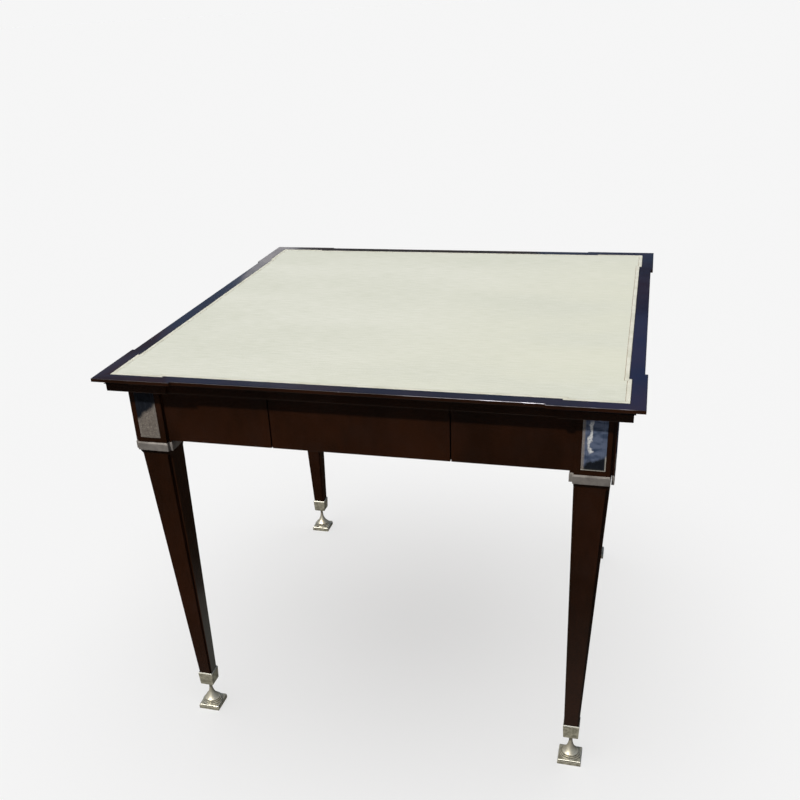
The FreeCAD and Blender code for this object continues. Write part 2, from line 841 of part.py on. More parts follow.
def drawer_back(side, angle):
    inner = box_half - side_thickness
    return turned(block_piece("drawer_back_" + side, (-inner, -box_back - side_thickness, bottom_top),
                              (inner, -box_back, side_top)), angle)


def drawer_bottom(side, angle):
    """Board with shoulders at the front: it runs in the side grooves and the front's groove."""
    label = "drawer_bottom_" + side
    inner = box_half - side_thickness
    wide = block(label + "_board", (-inner - groove, -apron_back, bottom_low),
                 (inner + groove, -box_back, bottom_top))
    tongue = block(label + "_tongue", (-inner, -apron_back - groove, bottom_low),
                   (inner, -apron_back, bottom_top))
    return turned(joined(label, [wide, tongue]), angle)


def block_piece(label, low, high):
    """A plain board under its own name, so that it can be turned as a whole."""
    return group(label, [block(label + "_board", low, high)])


# The whole table

pieces = []
for side, angle in SIDES.items():
    pieces.append(top_rail(side, angle))
    pieces.append(top_bearer(side, angle))
    pieces.append(apron_panel(side, "left", angle))
    pieces.append(apron_panel(side, "right", angle))
    pieces.append(cross_rail(side, angle))
    pieces.append(drawer_front(side, angle))
    pieces.append(drawer_sides(side, angle))
    pieces.append(drawer_back(side, angle))
    pieces.append(drawer_bottom(side, angle))
for corner, angle in CORNERS.items():
    pieces.append(leg(corner, angle))
    pieces.append(leg_collar(corner, angle))
    pieces.append(leg_sabot(corner, angle))
    pieces.append(foot(corner, angle))
pieces.append(panel_layer("panel_core", baize_top, leather_low))
pieces.append(panel_layer("panel_leather", leather_low, top))
pieces.append(panel_layer("panel_baize", rebate_low, baize_top))
pieces.append(panel_lipping())
pieces.append(plaques())
pieces.append(runner_bars())
pieces.append(drawer_guides())
pieces.append(drawer_stops())
doc.recompute()

for item in doc.Objects:
    if "Invalid" in item.State or "Error" in item.State:
        raise RuntimeError("%s: %s" % (item.Label, item.State))
for piece in pieces:
    if piece.Shape.isNull() or not piece.Shape.isValid() or not piece.Shape.Solids:
        raise RuntimeError(piece.Label + " has no sound shape")
for piece in pieces:
    piece.Shape.exportStep(os.path.join("parts", piece.Label + ".step"))
print(len(pieces), "pieces written,", sum(len(piece.Shape.Solids) for piece in pieces), "solids")
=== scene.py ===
# %% [markdown]
# # A square games table
# Dark gloss lacquer, silvered metal mounts and a pale playing panel that lifts out. The solid
# model of the table is already made, and this lesson dresses it: the pieces that show are
# modelled again with their rounded edges, and every surface gets its finish.
# Lengths are in metres, the floor is at z = 0 and the front of the table looks along -Y.

# %% Load the frame
import math
from contextlib import contextmanager

import bmesh
import bpy
from mathutils import Matrix, Vector


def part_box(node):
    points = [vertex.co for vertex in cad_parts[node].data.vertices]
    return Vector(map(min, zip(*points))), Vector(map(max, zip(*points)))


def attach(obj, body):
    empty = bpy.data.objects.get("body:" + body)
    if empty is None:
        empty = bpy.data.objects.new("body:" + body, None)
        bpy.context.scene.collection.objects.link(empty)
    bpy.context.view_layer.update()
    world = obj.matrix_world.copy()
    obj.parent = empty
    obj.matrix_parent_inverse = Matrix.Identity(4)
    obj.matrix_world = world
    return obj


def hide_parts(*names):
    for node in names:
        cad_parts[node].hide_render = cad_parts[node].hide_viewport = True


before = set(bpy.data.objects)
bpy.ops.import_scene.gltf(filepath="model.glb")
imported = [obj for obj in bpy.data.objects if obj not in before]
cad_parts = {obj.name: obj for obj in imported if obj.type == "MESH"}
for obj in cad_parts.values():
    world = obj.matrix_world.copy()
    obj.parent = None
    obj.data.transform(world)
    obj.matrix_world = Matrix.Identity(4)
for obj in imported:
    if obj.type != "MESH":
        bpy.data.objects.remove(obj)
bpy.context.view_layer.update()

# %% [markdown]
# ## Boxes and discs to start from
# Every piece starts as a plain box or cylinder at its size and place. It could also be written
# down point by point, but then nobody could follow how it was made. The two helpers below add
# the start, and all lengths are written in millimetres of the real table.

# %% Starting shapes
MM = 0.001
ACROSS = Vector((1, 0, 0))
DEEP = Vector((0, 1, 0))
UP = Vector((0, 0, 1))


def clear_selection():
    bpy.ops.object.select_all(action="DESELECT")


def pick(piece):
    """Select one piece and nothing else, as a click on it does."""
    clear_selection()
    bpy.context.view_layer.objects.active = piece
    piece.select_set(True)


def named(name):
    """Name the piece just added and set its size and place in its mesh."""
    piece = bpy.context.active_object
    piece.name = piece.data.name = name
    bpy.ops.object.transform_apply(location=True, rotation=True, scale=True)
    return piece


def start_box(name, low, high):
    """A box from its lowest corner to its highest."""
    clear_selection()
    low, high = Vector(low), Vector(high)
    bpy.ops.mesh.primitive_cube_add(size=1, location=(low + high) / 2)
    bpy.context.active_object.scale = high - low
    return named(name)


def start_disc(name, centre, radius, low, high, points=48):
    """A standing cylinder between two heights."""
    clear_selection()
    place = (centre[0], centre[1], (low + high) / 2)
    bpy.ops.mesh.primitive_cylinder_add(vertices=points, radius=radius, depth=high - low,
                                        location=place)
    return named(name)


# %% [markdown]
# ## Choosing and shaping in edit mode
# At a screen, faces are picked with the mouse. In a script their numbers change with every
# cut, so faces, edges and points are picked by where they lie or by which way they face. Then
# an operator pushes, pulls, stretches or slices what is picked. It acts on all that is
# selected, so each helper clears the selection first. A slice also merges what lies very near
# its plane, so its reach is kept far below the finest rounding.

# %% Choosing in edit mode
TINY = 0.01 * MM


@contextmanager
def editing(piece):
    """Work on a piece in edit mode, with nothing chosen at first."""
    pick(piece)
    bpy.ops.object.mode_set(mode="EDIT")
    bpy.ops.mesh.select_all(action="DESELECT")
    yield
    bpy.ops.object.mode_set(mode="OBJECT")


def choose(kind, test):
    """Select the faces, edges or points that pass a test."""
    bpy.ops.mesh.select_mode(type=kind)
    bpy.ops.mesh.select_all(action="DESELECT")
    mesh = bpy.context.active_object.data
    shape = bmesh.from_edit_mesh(mesh)
    shape.normal_update()
    parts = {"FACE": shape.faces, "EDGE": shape.edges, "VERT": shape.verts}[kind]
    for part in [part for part in parts if test(part)]:
        part.select_set(True)
    bmesh.update_edit_mesh(mesh)


def choose_faces(test):
    choose("FACE", lambda face: test(face.calc_center_median(), face.normal))


def choose_points(test):
    choose("VERT", lambda point: test(point.co))


def choose_sharp_edges(test):
    choose("EDGE", lambda edge: len(edge.link_faces) == 2
           and edge.calc_face_angle() > math.radians(30)
           and all(test(point.co) for point in edge.verts))


# %% Shaping in edit mode
MERGE_REACH = 0.002 * MM


def push_out(distance):
    """Extrude the chosen faces along their normals, with true corners."""
    bpy.ops.mesh.extrude_region_shrink_fatten(
        TRANSFORM_OT_shrink_fatten={"value": distance, "use_even_offset": True})


def pull(way):
    """Extrude the chosen faces and move the new ones."""
    bpy.ops.mesh.extrude_region_move(TRANSFORM_OT_translate={"value": way})


def shift(way):
    """Move what is chosen."""
    bpy.ops.transform.translate(value=way)


def stretch(factors, centre):
    """Scale what is chosen about a point."""
    bpy.ops.transform.resize(value=factors, center_override=centre)


def slice_at(place, normal, drop_far_side=False):
    """Cut all the faces with a plane; the side its normal points to may be thrown away."""
    bpy.ops.mesh.select_all(action="SELECT")
    bpy.ops.mesh.bisect(plane_co=place, plane_no=normal, use_fill=drop_far_side,
                        clear_outer=drop_far_side, threshold=MERGE_REACH)


# %% [markdown]
# ## Finishing with modifiers
# No real edge is knife sharp: each keeps a thin line of light. A bevel modifier rounds them
# all alike, and a boolean carves recesses that would be slow to shape face by face. Both are
# applied at once, so that the next step finds real faces. Smooth shading beside a rounding
# would bend the light on the large faces too. Weighted normals give the large faces the last
# word, so they stay flat.

# %% Carving
def apply_modifier(piece, modifier):
    pick(piece)
    bpy.ops.object.modifier_apply(modifier=modifier.name)


def carve(piece, cutter, operation="DIFFERENCE"):
    """Cut a second shape out of a piece, or unite the two; the cutter is used up."""
    modifier = piece.modifiers.new("carve", "BOOLEAN")
    modifier.operation = operation
    modifier.solver = "EXACT"
    modifier.object = cutter
    apply_modifier(piece, modifier)
    bpy.data.objects.remove(cutter)
    with editing(piece):
        bpy.ops.mesh.select_all(action="SELECT")
        bpy.ops.mesh.remove_doubles(threshold=MERGE_REACH)
    return piece


# %% Soft edges and flat faces
def soften(piece, width, segments=2, angle=35):
    """Round the sharp edges a little, as sanding and lacquer leave them."""
    modifier = piece.modifiers.new("soften", "BEVEL")
    modifier.width = width
    modifier.segments = segments
    modifier.limit_method = "ANGLE"
    modifier.angle_limit = math.radians(angle)
    modifier.use_clamp_overlap = True
    modifier.miter_outer = "MITER_ARC"
    apply_modifier(piece, modifier)
    smooth(piece)
    return piece


def smooth(piece, angle=32):
    """Shade the roundings smooth and keep the large faces between them flat."""
    pick(piece)
    bpy.ops.object.shade_smooth_by_angle(angle=math.radians(angle))
    modifier = piece.modifiers.new("flat_faces", "WEIGHTED_NORMAL")
    modifier.mode = "FACE_AREA"
    modifier.weight = 100
    modifier.keep_sharp = True
    apply_modifier(piece, modifier)


# %% [markdown]
# ## Copies round the table
# The table is the same on all four sides. So each piece is made once, at the front or at the
# front left corner, and copied round the middle. It could be an array of linked copies, but
# every side has its own drawer and every copy needs a mesh of its own. The turn goes into that
# mesh, because finishes and moving parts expect an object that is itself unturned.

# %% Copies round the table
SIDES = {"front": 0, "right": 90, "back": 180, "left": 270}
CORNERS = {"front_left": 0, "front_right": 90, "back_right": 180, "back_left": 270}


def turned_copy(piece, name, angle):
    """A copy with its own mesh, turned about the middle of the table."""
    copy = piece.copy()
    copy.data = piece.data.copy()
    copy.name = copy.data.name = name
    copy.data.transform(Matrix.Rotation(math.radians(angle), 4, "Z"))
    bpy.context.scene.collection.objects.link(copy)
    return copy


def all_round(piece, name, places=SIDES):
    """The piece and its three turned copies, each under the name of its side or corner."""
    return {place: turned_copy(piece, name % place, angle) if angle else piece
            for place, angle in places.items()}


def join(pieces, name):
    """Make several pieces one object."""
    pick(pieces[0])
    for piece in pieces:
        piece.select_set(True)
    bpy.ops.object.join()
    pieces[0].name = pieces[0].data.name = name
    return pieces[0]


def report(piece):
    """Print the size of a piece and how many faces it has."""
    low = [min(point.co[axis] for point in piece.data.vertices) for axis in range(3)]
    high = [max(point.co[axis] for point in piece.data.vertices) for axis in range(3)]
    size = ["%.1f" % ((b - a) / MM) for a, b in zip(low, high)]
    print(piece.name, "is", " x ".join(size), "mm with", len(piece.data.polygons), "faces")


# %% [markdown]
# ## Expressions instead of nodes
# A finish is worked out from patterns: a noise times a strength plus a colour. Written as a
# sum, such a rule is one line, while the same rule as nodes is a page. The class below wraps
# an output socket, so that an expression on it adds the Math nodes by itself.

# %% Values that add their own nodes
class Value:
    """One number of a pattern, wherever on the surface it is asked for."""

    def __init__(self, finish, socket):
        self.finish = finish
        self.socket = socket

    def _maths(self, operation, first, second=0.0, third=0.0):
        return self.finish.node("ShaderNodeMath", {"operation": operation},
                                {0: first, 1: second, 2: third})

    def __add__(self, other):
        return self._maths("ADD", self, other)

    def __sub__(self, other):
        return self._maths("SUBTRACT", self, other)

    def __rsub__(self, other):
        return self._maths("SUBTRACT", other, self)

    def __mul__(self, other):
        return self._maths("MULTIPLY", self, other)

    def __truediv__(self, other):
        return self._maths("DIVIDE", self, other)

    def __pow__(self, other):
        return self._maths("POWER", self, other)

    __radd__ = __add__
    __rmul__ = __mul__

    def larger(self, other):
        return self._maths("MAXIMUM", self, other)

    def smaller(self, other):
        return self._maths("MINIMUM", self, other)

    def rising(self, low, high):
        """0 below low, 1 above high and a soft step between them."""
        return self.finish.node("ShaderNodeMapRange", {"interpolation_type": "SMOOTHSTEP"},
                                {"Value": self, "From Min": low, "From Max": high})

    def falling(self, low, high):
        """1 below low, 0 above high and a soft step between them."""
        return 1.0 - self.rising(low, high)

    def window(self, start, full, fading, end):
        """0 up to start, 1 from full to fading and 0 again from end on, with soft steps."""
        return self.rising(start, full) * self.falling(fading, end)


# %% [markdown]
# ## Rules that fill a node tree
# Every finish needs the same few nodes: a place on the piece, a noise, a blend of two colours,
# a bump. They could be laid out by hand for each material. Here one method makes any node from
# its type, its settings and its sockets, and short methods for the common ones stand on it. A
# noise takes the real size of its lumps, so the grain is as coarse on a leg as on the top.

# %% Rules that fill a node tree
class Rules:
    """A node tree that is filled by expressions."""

    def __init__(self, tree, place):
        self.tree = tree
        self.tree.nodes.clear()
        self.place = self.node("ShaderNodeTexCoord", take=place)

    def node(self, kind, settings=None, sockets=None, take=0):
        """Add a node: its settings come first, then the values or links of its sockets."""
        made = self.tree.nodes.new(kind)
        for name, setting in (settings or {}).items():
            if name == "stops":
                self._set_stops(made.color_ramp, setting)
            else:
                setattr(made, name, setting)
        for name, value in (sockets or {}).items():
            if isinstance(value, Value):
                self.tree.links.new(value.socket, made.inputs[name])
            elif value is not None:
                made.inputs[name].default_value = value
        return Value(self, made.outputs[take]) if made.outputs else made

    @staticmethod
    def _set_stops(ramp, stops):
        while len(ramp.elements) < len(stops):
            ramp.elements.new(0.5)
        for element, (place, colour) in zip(ramp.elements, stops):
            element.position = place
            element.color = (*colour, 1.0)

    def axis(self, take):
        """One coordinate of the place."""
        return self.node("ShaderNodeSeparateXYZ", None, {0: self.place}, take)

    def noise(self, size, detail=3.0, along=(1.0, 1.0, 1.0), roughness=0.5):
        """Cloudy pattern whose lumps are about size across, longer where along is larger."""
        scale = tuple(1.0 / (size * length) for length in along)
        place = self.node("ShaderNodeMapping", None, {"Vector": self.place, "Scale": scale},
                          "Vector")
        return self.node("ShaderNodeTexNoise", None,
                         {"Vector": place, "Scale": 1.0, "Detail": detail,
                          "Roughness": roughness}, "Fac")

    def mix(self, share, first, second):
        """Blend two colours."""
        def full(colour):
            return colour if isinstance(colour, Value) else (*colour, 1.0)
        return self.node("ShaderNodeMix", {"data_type": "RGBA", "clamp_factor": True},
                         {0: share, 6: full(first), 7: full(second)}, 2)

    def bump(self, height, distance, strength=1.0, under=None):
        """Small relief, which may lie on another bump."""
        return self.node("ShaderNodeBump", None, {"Height": height, "Distance": distance,
                                                  "Strength": strength, "Normal": under}, "Normal")


# %% [markdown]
# ## One finish
# A finish is such a tree with one surface shader at its end. Its patterns are read from the
# object's own coordinates. They need no unwrapping, and they suit wood, lacquer and cast
# metal, where a pattern goes right through a piece and isn't laid over it like wallpaper.

# %% One finish
class Finish(Rules):
    """One material and the nodes that make it."""

    def __init__(self, name):
        self.material = bpy.data.materials.new(name)
        self.material.use_nodes = True
        super().__init__(self.material.node_tree, "Object")

    def surface(self, colour, roughness, normal=None, **constants):
        """Close the finish with one surface shader; constants bear the names of its sockets."""
        sockets = {"Base Color": colour if isinstance(colour, Value) else (*colour, 1.0),
                   "Roughness": roughness, "Normal": normal}
        for name, value in constants.items():
            sockets[name.replace("_", " ").title().replace("Ior", "IOR")] = value
        shader = self.node("ShaderNodeBsdfPrincipled", None, sockets)
        self.node("ShaderNodeOutputMaterial", None, {"Surface": shader})
        print("finish", self.material.name, "has", len(self.tree.nodes), "nodes")
        return self.material


# %% [markdown]
# ## Camera
# The table was photographed from standing height, in front of it and a little to its right. A
# camera can be turned by eye until the edges lie right. This one was worked out from the edges
# of the top and the legs, as a place, the way it looks and the way its right side points. The
# picture is shifted a little, so that the table stands low in it. The shift stays small,
# because the table is also looked at from other sides with the same camera.

# %% Camera
CAMERA_PLACE = Vector((0.4269, -1.7280, 1.3037))
CAMERA_LOOKS = Vector((-0.2563, 0.8489, -0.4623)).normalized()
CAMERA_RIGHT = Vector((0.9633, 0.2637, -0.0500)).normalized()
CAMERA_LENS = 41.90
CAMERA_SHIFT = (0.0294, 0.100)

clear_selection()
bpy.ops.object.camera_add(location=CAMERA_PLACE)
camera = bpy.context.active_object
camera_up = CAMERA_RIGHT.cross(CAMERA_LOOKS)
camera.rotation_euler = Matrix((CAMERA_RIGHT, camera_up, -CAMERA_LOOKS)).transposed().to_euler()
camera.data.lens = CAMERA_LENS
camera.data.shift_x, camera.data.shift_y = CAMERA_SHIFT
camera.data.clip_end = 400
bpy.context.scene.camera = camera
bpy.context.scene.view_settings.view_transform = "Standard"
print("camera at", tuple(round(part, 3) for part in camera.location))

# %% [markdown]
# ## Floor
# A plain pale floor runs out of sight, and only a soft shade lies on it. With nothing but
# lamps a floor as bright as this needs so much light that the dark lacquer turns milky. So the
# floor glows a little by itself, and reflections don't see it.

# %% Floor
FLOOR_REACH = 120.0
FLOOR_GREY, FLOOR_GLOW = 0.32, 0.60
clear_selection()
bpy.ops.mesh.primitive_circle_add(vertices=96, radius=FLOOR_REACH, fill_type="NGON")
floor = bpy.context.active_object
floor.name = "studio_floor"
paint = Finish("pale_floor")
floor.data.materials.append(paint.surface((FLOOR_GREY,) * 3, 0.9, specular_ior_level=0.0,
                                          emission_color=(1.0, 1.0, 1.0, 1.0),
                                          emission_strength=FLOOR_GLOW))
floor.visible_glossy = False

# %% [markdown]
# ## Sky
# Gloss lacquer is a dark mirror: it shows a blue sky, a pale horizon and dark ground. The
# backdrop of the picture is plain, and the light on the floor is soft. One sky can't be all
# three. A photographed surrounding would bring its own light, and a studio tent would make the
# lacquer grey. So the world is asked by which kind of ray it is seen: the camera sees the
# plain backdrop, matt surfaces get soft light from overhead, and gloss mirrors bands of colour
# that change with height.

# %% Bands of the mirrored sky
GROUND, GLOOM = (0.135, 0.128, 0.115), (0.018, 0.014, 0.010)
HORIZON, LOW_BLUE = (0.34, 0.36, 0.40), (0.070, 0.150, 0.27)
MIDDLE_BLUE, HIGH_BLUE = (0.050, 0.145, 0.30), (0.05, 0.135, 0.34)
# Each stop: height, from straight down at 0 to straight up at 1, and colour.
REFLECTED = ((0.0, GROUND), (0.145, GROUND), (0.18, GLOOM), (0.48, GLOOM),
             (0.515, HORIZON), (0.56, LOW_BLUE), (0.75, MIDDLE_BLUE), (1.0, HIGH_BLUE))
CLOUD_COLOUR, CLOUD_SHARE = (0.075, 0.070, 0.095), 0.3

sky = bpy.data.worlds.new("studio_sky")
bpy.context.scene.world = sky
sky.use_nodes = True
rules = Rules(sky.node_tree, "Generated")
sideways, ahead, height = rules.axis("X"), rules.axis("Y"), rules.axis("Z")
mirrored = rules.node("ShaderNodeValToRGB", {"stops": REFLECTED}, {0: height * 0.5 + 0.5}, "Color")
clouds = rules.noise(0.05, 3.0).rising(0.44, 0.56) * height.window(0.02, 0.06, 0.50, 0.60)
mirrored = rules.mix(clouds * CLOUD_SHARE, mirrored, CLOUD_COLOUR)
print("mirrored sky has", len(REFLECTED), "stops of colour")

# %% [markdown]
# ## Patches in the mirrored sky
# The rails of the top mirror darker and lighter patches too, and low down the legs mirror the
# pale ground. Real things could stand there, out of the picture, but they would be a second
# scene. It is enough to colour the sky where a mirrored ray meets it. Each patch is a window
# in two directions, to the side and in height, with soft edges. Only rays that leave the table
# away from the camera see them.

# %% Patches in the mirrored sky
DULL_GREEN = (0.075, 0.075, 0.060)
DARK_BROWN = (0.045, 0.020, 0.020)
NEAR_BLACK = (0.004, 0.005, 0.010)
BRIGHT_HAZE = (0.98, 0.96, 1.00)
DEEP_BLUE = (0.035, 0.125, 0.34)
PALE_GROUND = (0.20, 0.205, 0.185)
# Each patch: reach to the side, reach in height, softness of its edges, colour.
MIRRORED_PATCHES = (((-0.338, -0.110), (0.150, 0.280), 0.015, DULL_GREEN),
                    ((-0.392, -0.352), (0.150, 0.280), 0.010, BRIGHT_HAZE),
                    ((-0.505, -0.477), (0.285, 0.313), 0.006, DARK_BROWN),
                    ((-0.600, -0.470), (0.334, 0.370), 0.003, DARK_BROWN),
                    ((-0.030, 0.100), (0.310, 0.450), 0.020, DEEP_BLUE),
                    ((-0.080, 0.250), (0.259, 0.296), 0.012, NEAR_BLACK),
                    ((0.250, 0.900), (-1.000, -0.560), 0.012, PALE_GROUND))


def stretch_of(value, reach, soft):
    """1 inside the reach and 0 outside, with soft ends."""
    return value.window(reach[0] - soft, reach[0], reach[1], reach[1] + soft)


away_from_camera = ahead.rising(0.0, 0.1)
for across, upright, soft, colour in MIRRORED_PATCHES:
    place = stretch_of(sideways, across, soft) * stretch_of(height, upright, soft)
    mirrored = rules.mix(place * away_from_camera, mirrored, colour)
print(len(MIRRORED_PATCHES), "patches lie in the mirrored sky")


# %% One sky for each kind of ray
def glow(colour, strength=1.0):
    """Light of one colour that comes from the sky."""
    return rules.node("ShaderNodeBackground", None, {"Color": colour, "Strength": strength})


def unless(ray, usual, other):
    """Show the other light to one kind of ray."""
    asked = rules.node("ShaderNodeLightPath", take=ray)
    return rules.node("ShaderNodeMixShader", None, {0: asked, 1: usual, 2: other})


BACKDROP = 0.92
FROM_ALL_ROUND, FROM_OVERHEAD = 0.30, 2.52
WHITE = (1.0, 1.0, 1.0, 1.0)
overhead = height.rising(0.78, 0.92) * FROM_OVERHEAD + FROM_ALL_ROUND
lit = unless("Is Glossy Ray", glow(WHITE, overhead), glow(mirrored))
seen = unless("Is Camera Ray", lit, glow((BACKDROP, BACKDROP, BACKDROP, 1.0)))
rules.node("ShaderNodeOutputWorld", None, {"Surface": seen})
print("backdrop is", BACKDROP, "and the soft light from overhead", FROM_OVERHEAD)

# %% [markdown]
# ## Lamp
# A hard light from high up at the front left draws the sharp lower edge of the moulding's
# shade on the apron. A small disc far away gives such an edge, while a wide one near by would
# blur it. The floor and the pale panel have enough light from the sky and would burn out, so
# light linking keeps them out of this lamp.

# %% Lamp
LAMP_FROM = Vector((-0.30, -0.56, 0.757)).normalized()
LAMP_DISTANCE = 6.0
LAMP_AIM = Vector((0, 0, 0.4))
LAMP_SIZE = 0.25
LAMP_POWER = 620.0
LAMP_COLOUR = (1.0, 0.97, 0.92)

clear_selection()
bpy.ops.object.light_add(type="AREA", location=LAMP_FROM * LAMP_DISTANCE)
key_lamp = bpy.context.active_object
key_lamp.name = "key_lamp"
key_lamp.data.shape = "DISK"
key_lamp.data.size = LAMP_SIZE
key_lamp.data.energy = LAMP_POWER
key_lamp.data.color = LAMP_COLOUR
key_lamp.rotation_euler = (LAMP_AIM - key_lamp.location).to_track_quat("-Z", "Y").to_euler()
print("lamp is", LAMP_DISTANCE, "m away")

# %% What the lamp leaves out
unlit = bpy.data.collections.new("away_from_key_lamp")


def keep_from_key_lamp(piece):
    """The floor and the pale panel take no light from the lamp."""
    unlit.objects.link(piece)
    for entry in unlit.collection_objects:
        entry.light_linking.link_state = "EXCLUDE"


keep_from_key_lamp(floor)
key_lamp.light_linking.receiver_collection = unlit

# %% [markdown]
# ## Lacquer
# The wood is under many thin coats of an almost black brown lacquer, rubbed to a gloss. One
# dark colour would look like plastic. So the colour drifts a little over a hand's breadth, a
# trace of orange peel bends the reflections, and faint rubbing haze makes some places duller.

# %% Gloss lacquer
def gloss_lacquer():
    """Almost black brown that drifts a little, with rubbing haze and orange peel."""
    paint = Finish("gloss_lacquer")
    cloud = paint.noise(120 * MM, 4.0, (1.0, 1.0, 1.6))
    fine = paint.noise(10 * MM, 3.0, (1.0, 1.0, 3.0))
    depth = (cloud * 0.75 + fine * 0.25).rising(0.32, 0.68)
    colour = paint.mix(depth, (0.0062, 0.0021, 0.0008), (0.0115, 0.0035, 0.0013))
    haze = paint.noise(50 * MM, 5.0, roughness=0.65).rising(0.35, 0.75)
    speck = paint.noise(1.6 * MM, 1.0).rising(0.74, 0.80)
    colour = paint.mix(speck * 0.30, colour, (0.030, 0.026, 0.024))
    peel = paint.bump(paint.noise(6 * MM, 2.0), 0.1 * MM, 0.35)
    return paint.surface(colour, 0.16 + haze * 0.10, peel, specular_ior_level=0.5,
                         coat_weight=0.35, coat_roughness=0.04)


LACQUER = gloss_lacquer()

# %% [markdown]
# ## Worn arris with a painted highlight
# The outer arris of the top is chipped here and there to the pale ground, and a painted
# highlight lies along it, most of all in front and right of the middle. Wear could be painted
# on by hand. Here two soft windows along the edge say how strong the painted highlight is, a
# noise breaks it into chips, and a sparse noise chips the rest of the edge.

# %% Worn arris with a painted highlight
FRONT_EDGE = (-440 * MM, -430 * MM)
LIGHT_STRETCH = (55 * MM, 100 * MM, 420 * MM, 440 * MM)
HEAVY_STRETCH = (170 * MM, 250 * MM, 300 * MM, 306 * MM)


def rubbed_and_highlit_arris():
    """Lacquer with a painted highlight along two stretches of the front edge, and chips of wear.
    """
    paint = Finish("rubbed_and_highlit_arris")
    x, y = paint.axis("X"), paint.axis("Y")
    chips = paint.noise(10 * MM, 4.0, (3.5, 3.5, 1.0), 0.7).rising(0.40, 0.60)
    sparse = paint.noise(22 * MM, 4.0, (1.5, 1.5, 1.0), 0.7).rising(0.60, 0.68)
    faint_highlight = x.window(*LIGHT_STRETCH) * (chips * 0.10 + 0.04)
    strong_highlight = x.window(*HEAVY_STRETCH) * (chips * 0.65 + 0.25)
    wear_and_highlight = y.falling(*FRONT_EDGE) * (faint_highlight + strong_highlight) + sparse * 0.15
    # Chips of wear all along, and a painted highlight on the two stretches of the edge.
    colour = paint.mix(wear_and_highlight, (0.006, 0.004, 0.004), (0.62, 0.61, 0.68))
    return paint.surface(colour, 0.45 + wear_and_highlight * 0.1, specular_ior_level=0.2)


ARRIS = rubbed_and_highlit_arris()

# %% [markdown]
# ## Seams
# Beside each drawer front the roundings run down into a fine gap, which lies in shade. Lacquer
# would shine there and close the gap to the eye. The deep half of these roundings gets a dull,
# nearly black painted shade instead, so the seam reads from a step away.

# %% Seams
def shaded_seam():
    """Dull, nearly black painted shade for the roundings beside a seam."""
    paint = Finish("shaded_seam")
    shade_mottle = paint.noise(4 * MM, 4.0, roughness=0.7).rising(0.40, 0.70)
    colour = paint.mix(shade_mottle, (0.0010, 0.0005, 0.0003), (0.0026, 0.0014, 0.0009))
    return paint.surface(colour, 0.5 + shade_mottle * 0.3, specular_ior_level=0.05)


SEAM = shaded_seam()

# %% [markdown]
# ## Silvered metal
# Collars, caps and feet are cast and silvered, now dulled to a warm grey. The casting leaves a
# soft grain. On the feet, tarnish and painted shade darken the foot of each riser, and the edge
# below each corner gets a painted highlight. A pure metal shows nothing but the sky, which is
# plain here, so this one is partly matt. Corners could be found from the shape, but their
# heights are known, so they are simply handed in.

# %% Silvered metal
TARNISH_AND_SHADE, PAINTED_EDGE_HIGHLIGHT = (0.035, 0.03, 0.022), (0.90, 0.87, 0.76)
TARNISH_AND_SHADE_REACH = (-0.2 * MM, 0.3 * MM, 0.8 * MM, 1.6 * MM)
HIGHLIGHT_REACH = (-0.9 * MM, -0.6 * MM, -0.15 * MM, 0.0)


def silvered_metal(name, dark, light, roughness, grain=1.0, metallic=0.8, patches=18 * MM,
                   corners=()):
    """Dulled silver; tarnish and painted shade lie just above each corner, and a painted highlight
    on the edge below it.
    """
    paint = Finish(name)
    patch = paint.noise(patches, 5.0, roughness=0.6).rising(0.34, 0.66)
    grit = paint.noise(1.1 * MM, 3.0, roughness=0.7)
    brushed = paint.noise(1.6 * MM, 3.0, (9.0, 9.0, 1.0), 0.7)
    colour = paint.mix(patch * 0.5 + grit * 0.2 + brushed * 0.3, dark, light)
    height = paint.axis("Z")
    for corner in corners:
        # Tarnish with painted shade just above the corner, and a painted highlight on the edge
        # below it.
        tarnish_and_shade = height.window(*(corner + reach for reach in TARNISH_AND_SHADE_REACH))
        colour = paint.mix(tarnish_and_shade * 0.9, colour, TARNISH_AND_SHADE)
        edge_highlight = height.window(*(corner + reach for reach in HIGHLIGHT_REACH))
        colour = paint.mix(edge_highlight * 0.8, colour, PAINTED_EDGE_HIGHLIGHT)
    relief = paint.bump(grit * 0.6 + paint.noise(4 * MM, 3.0) * 0.4, 0.22 * MM * grain, 0.5)
    return paint.surface(colour, roughness + patch * -0.08 + grit * 0.12, relief,
                         metallic=metallic)


# %% [markdown]
# ## Mirror plates
# The plaques are old polished sheet. On the right they hold a blurred blue reflection with a
# bright streak and a dark foot, on the left painted speckled light. What stands round the table
# could be built and truly mirrored, but the waves of an old plate tear any image apart. So the
# reflection and the light on it are painted as a pattern, drawn over the distance from the
# plate's middle and the share of its height. The bevelled border has the same rule with a
# coarse grain.

# %% Places and colours of the mirror plates
PLATE_PLACE = -sum(corner.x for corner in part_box("leg_front_left")) / 2
PLATE_LOW, PLATE_HIGH = (corner.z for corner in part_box("plaques"))
SLATE, PALE_SLATE, DARK_FOOT = (0.045, 0.066, 0.118), (0.120, 0.150, 0.232), (0.010, 0.012, 0.017)
# Colours of the painted speckled light.
SPECKLED_LIGHT, BRIGHT_SPECKLED_LIGHT = (0.20, 0.172, 0.148), (0.60, 0.57, 0.50)
EDGE_LIGHT, STREAK_LIGHT = (0.50, 0.475, 0.42), (0.72, 0.73, 0.74)
STREAK_CORE, STREAK_END = 1.0 * MM, 3.606 * MM
print("plates reach from %.1f to %.1f mm above the floor" % (PLATE_LOW / MM, PLATE_HIGH / MM))


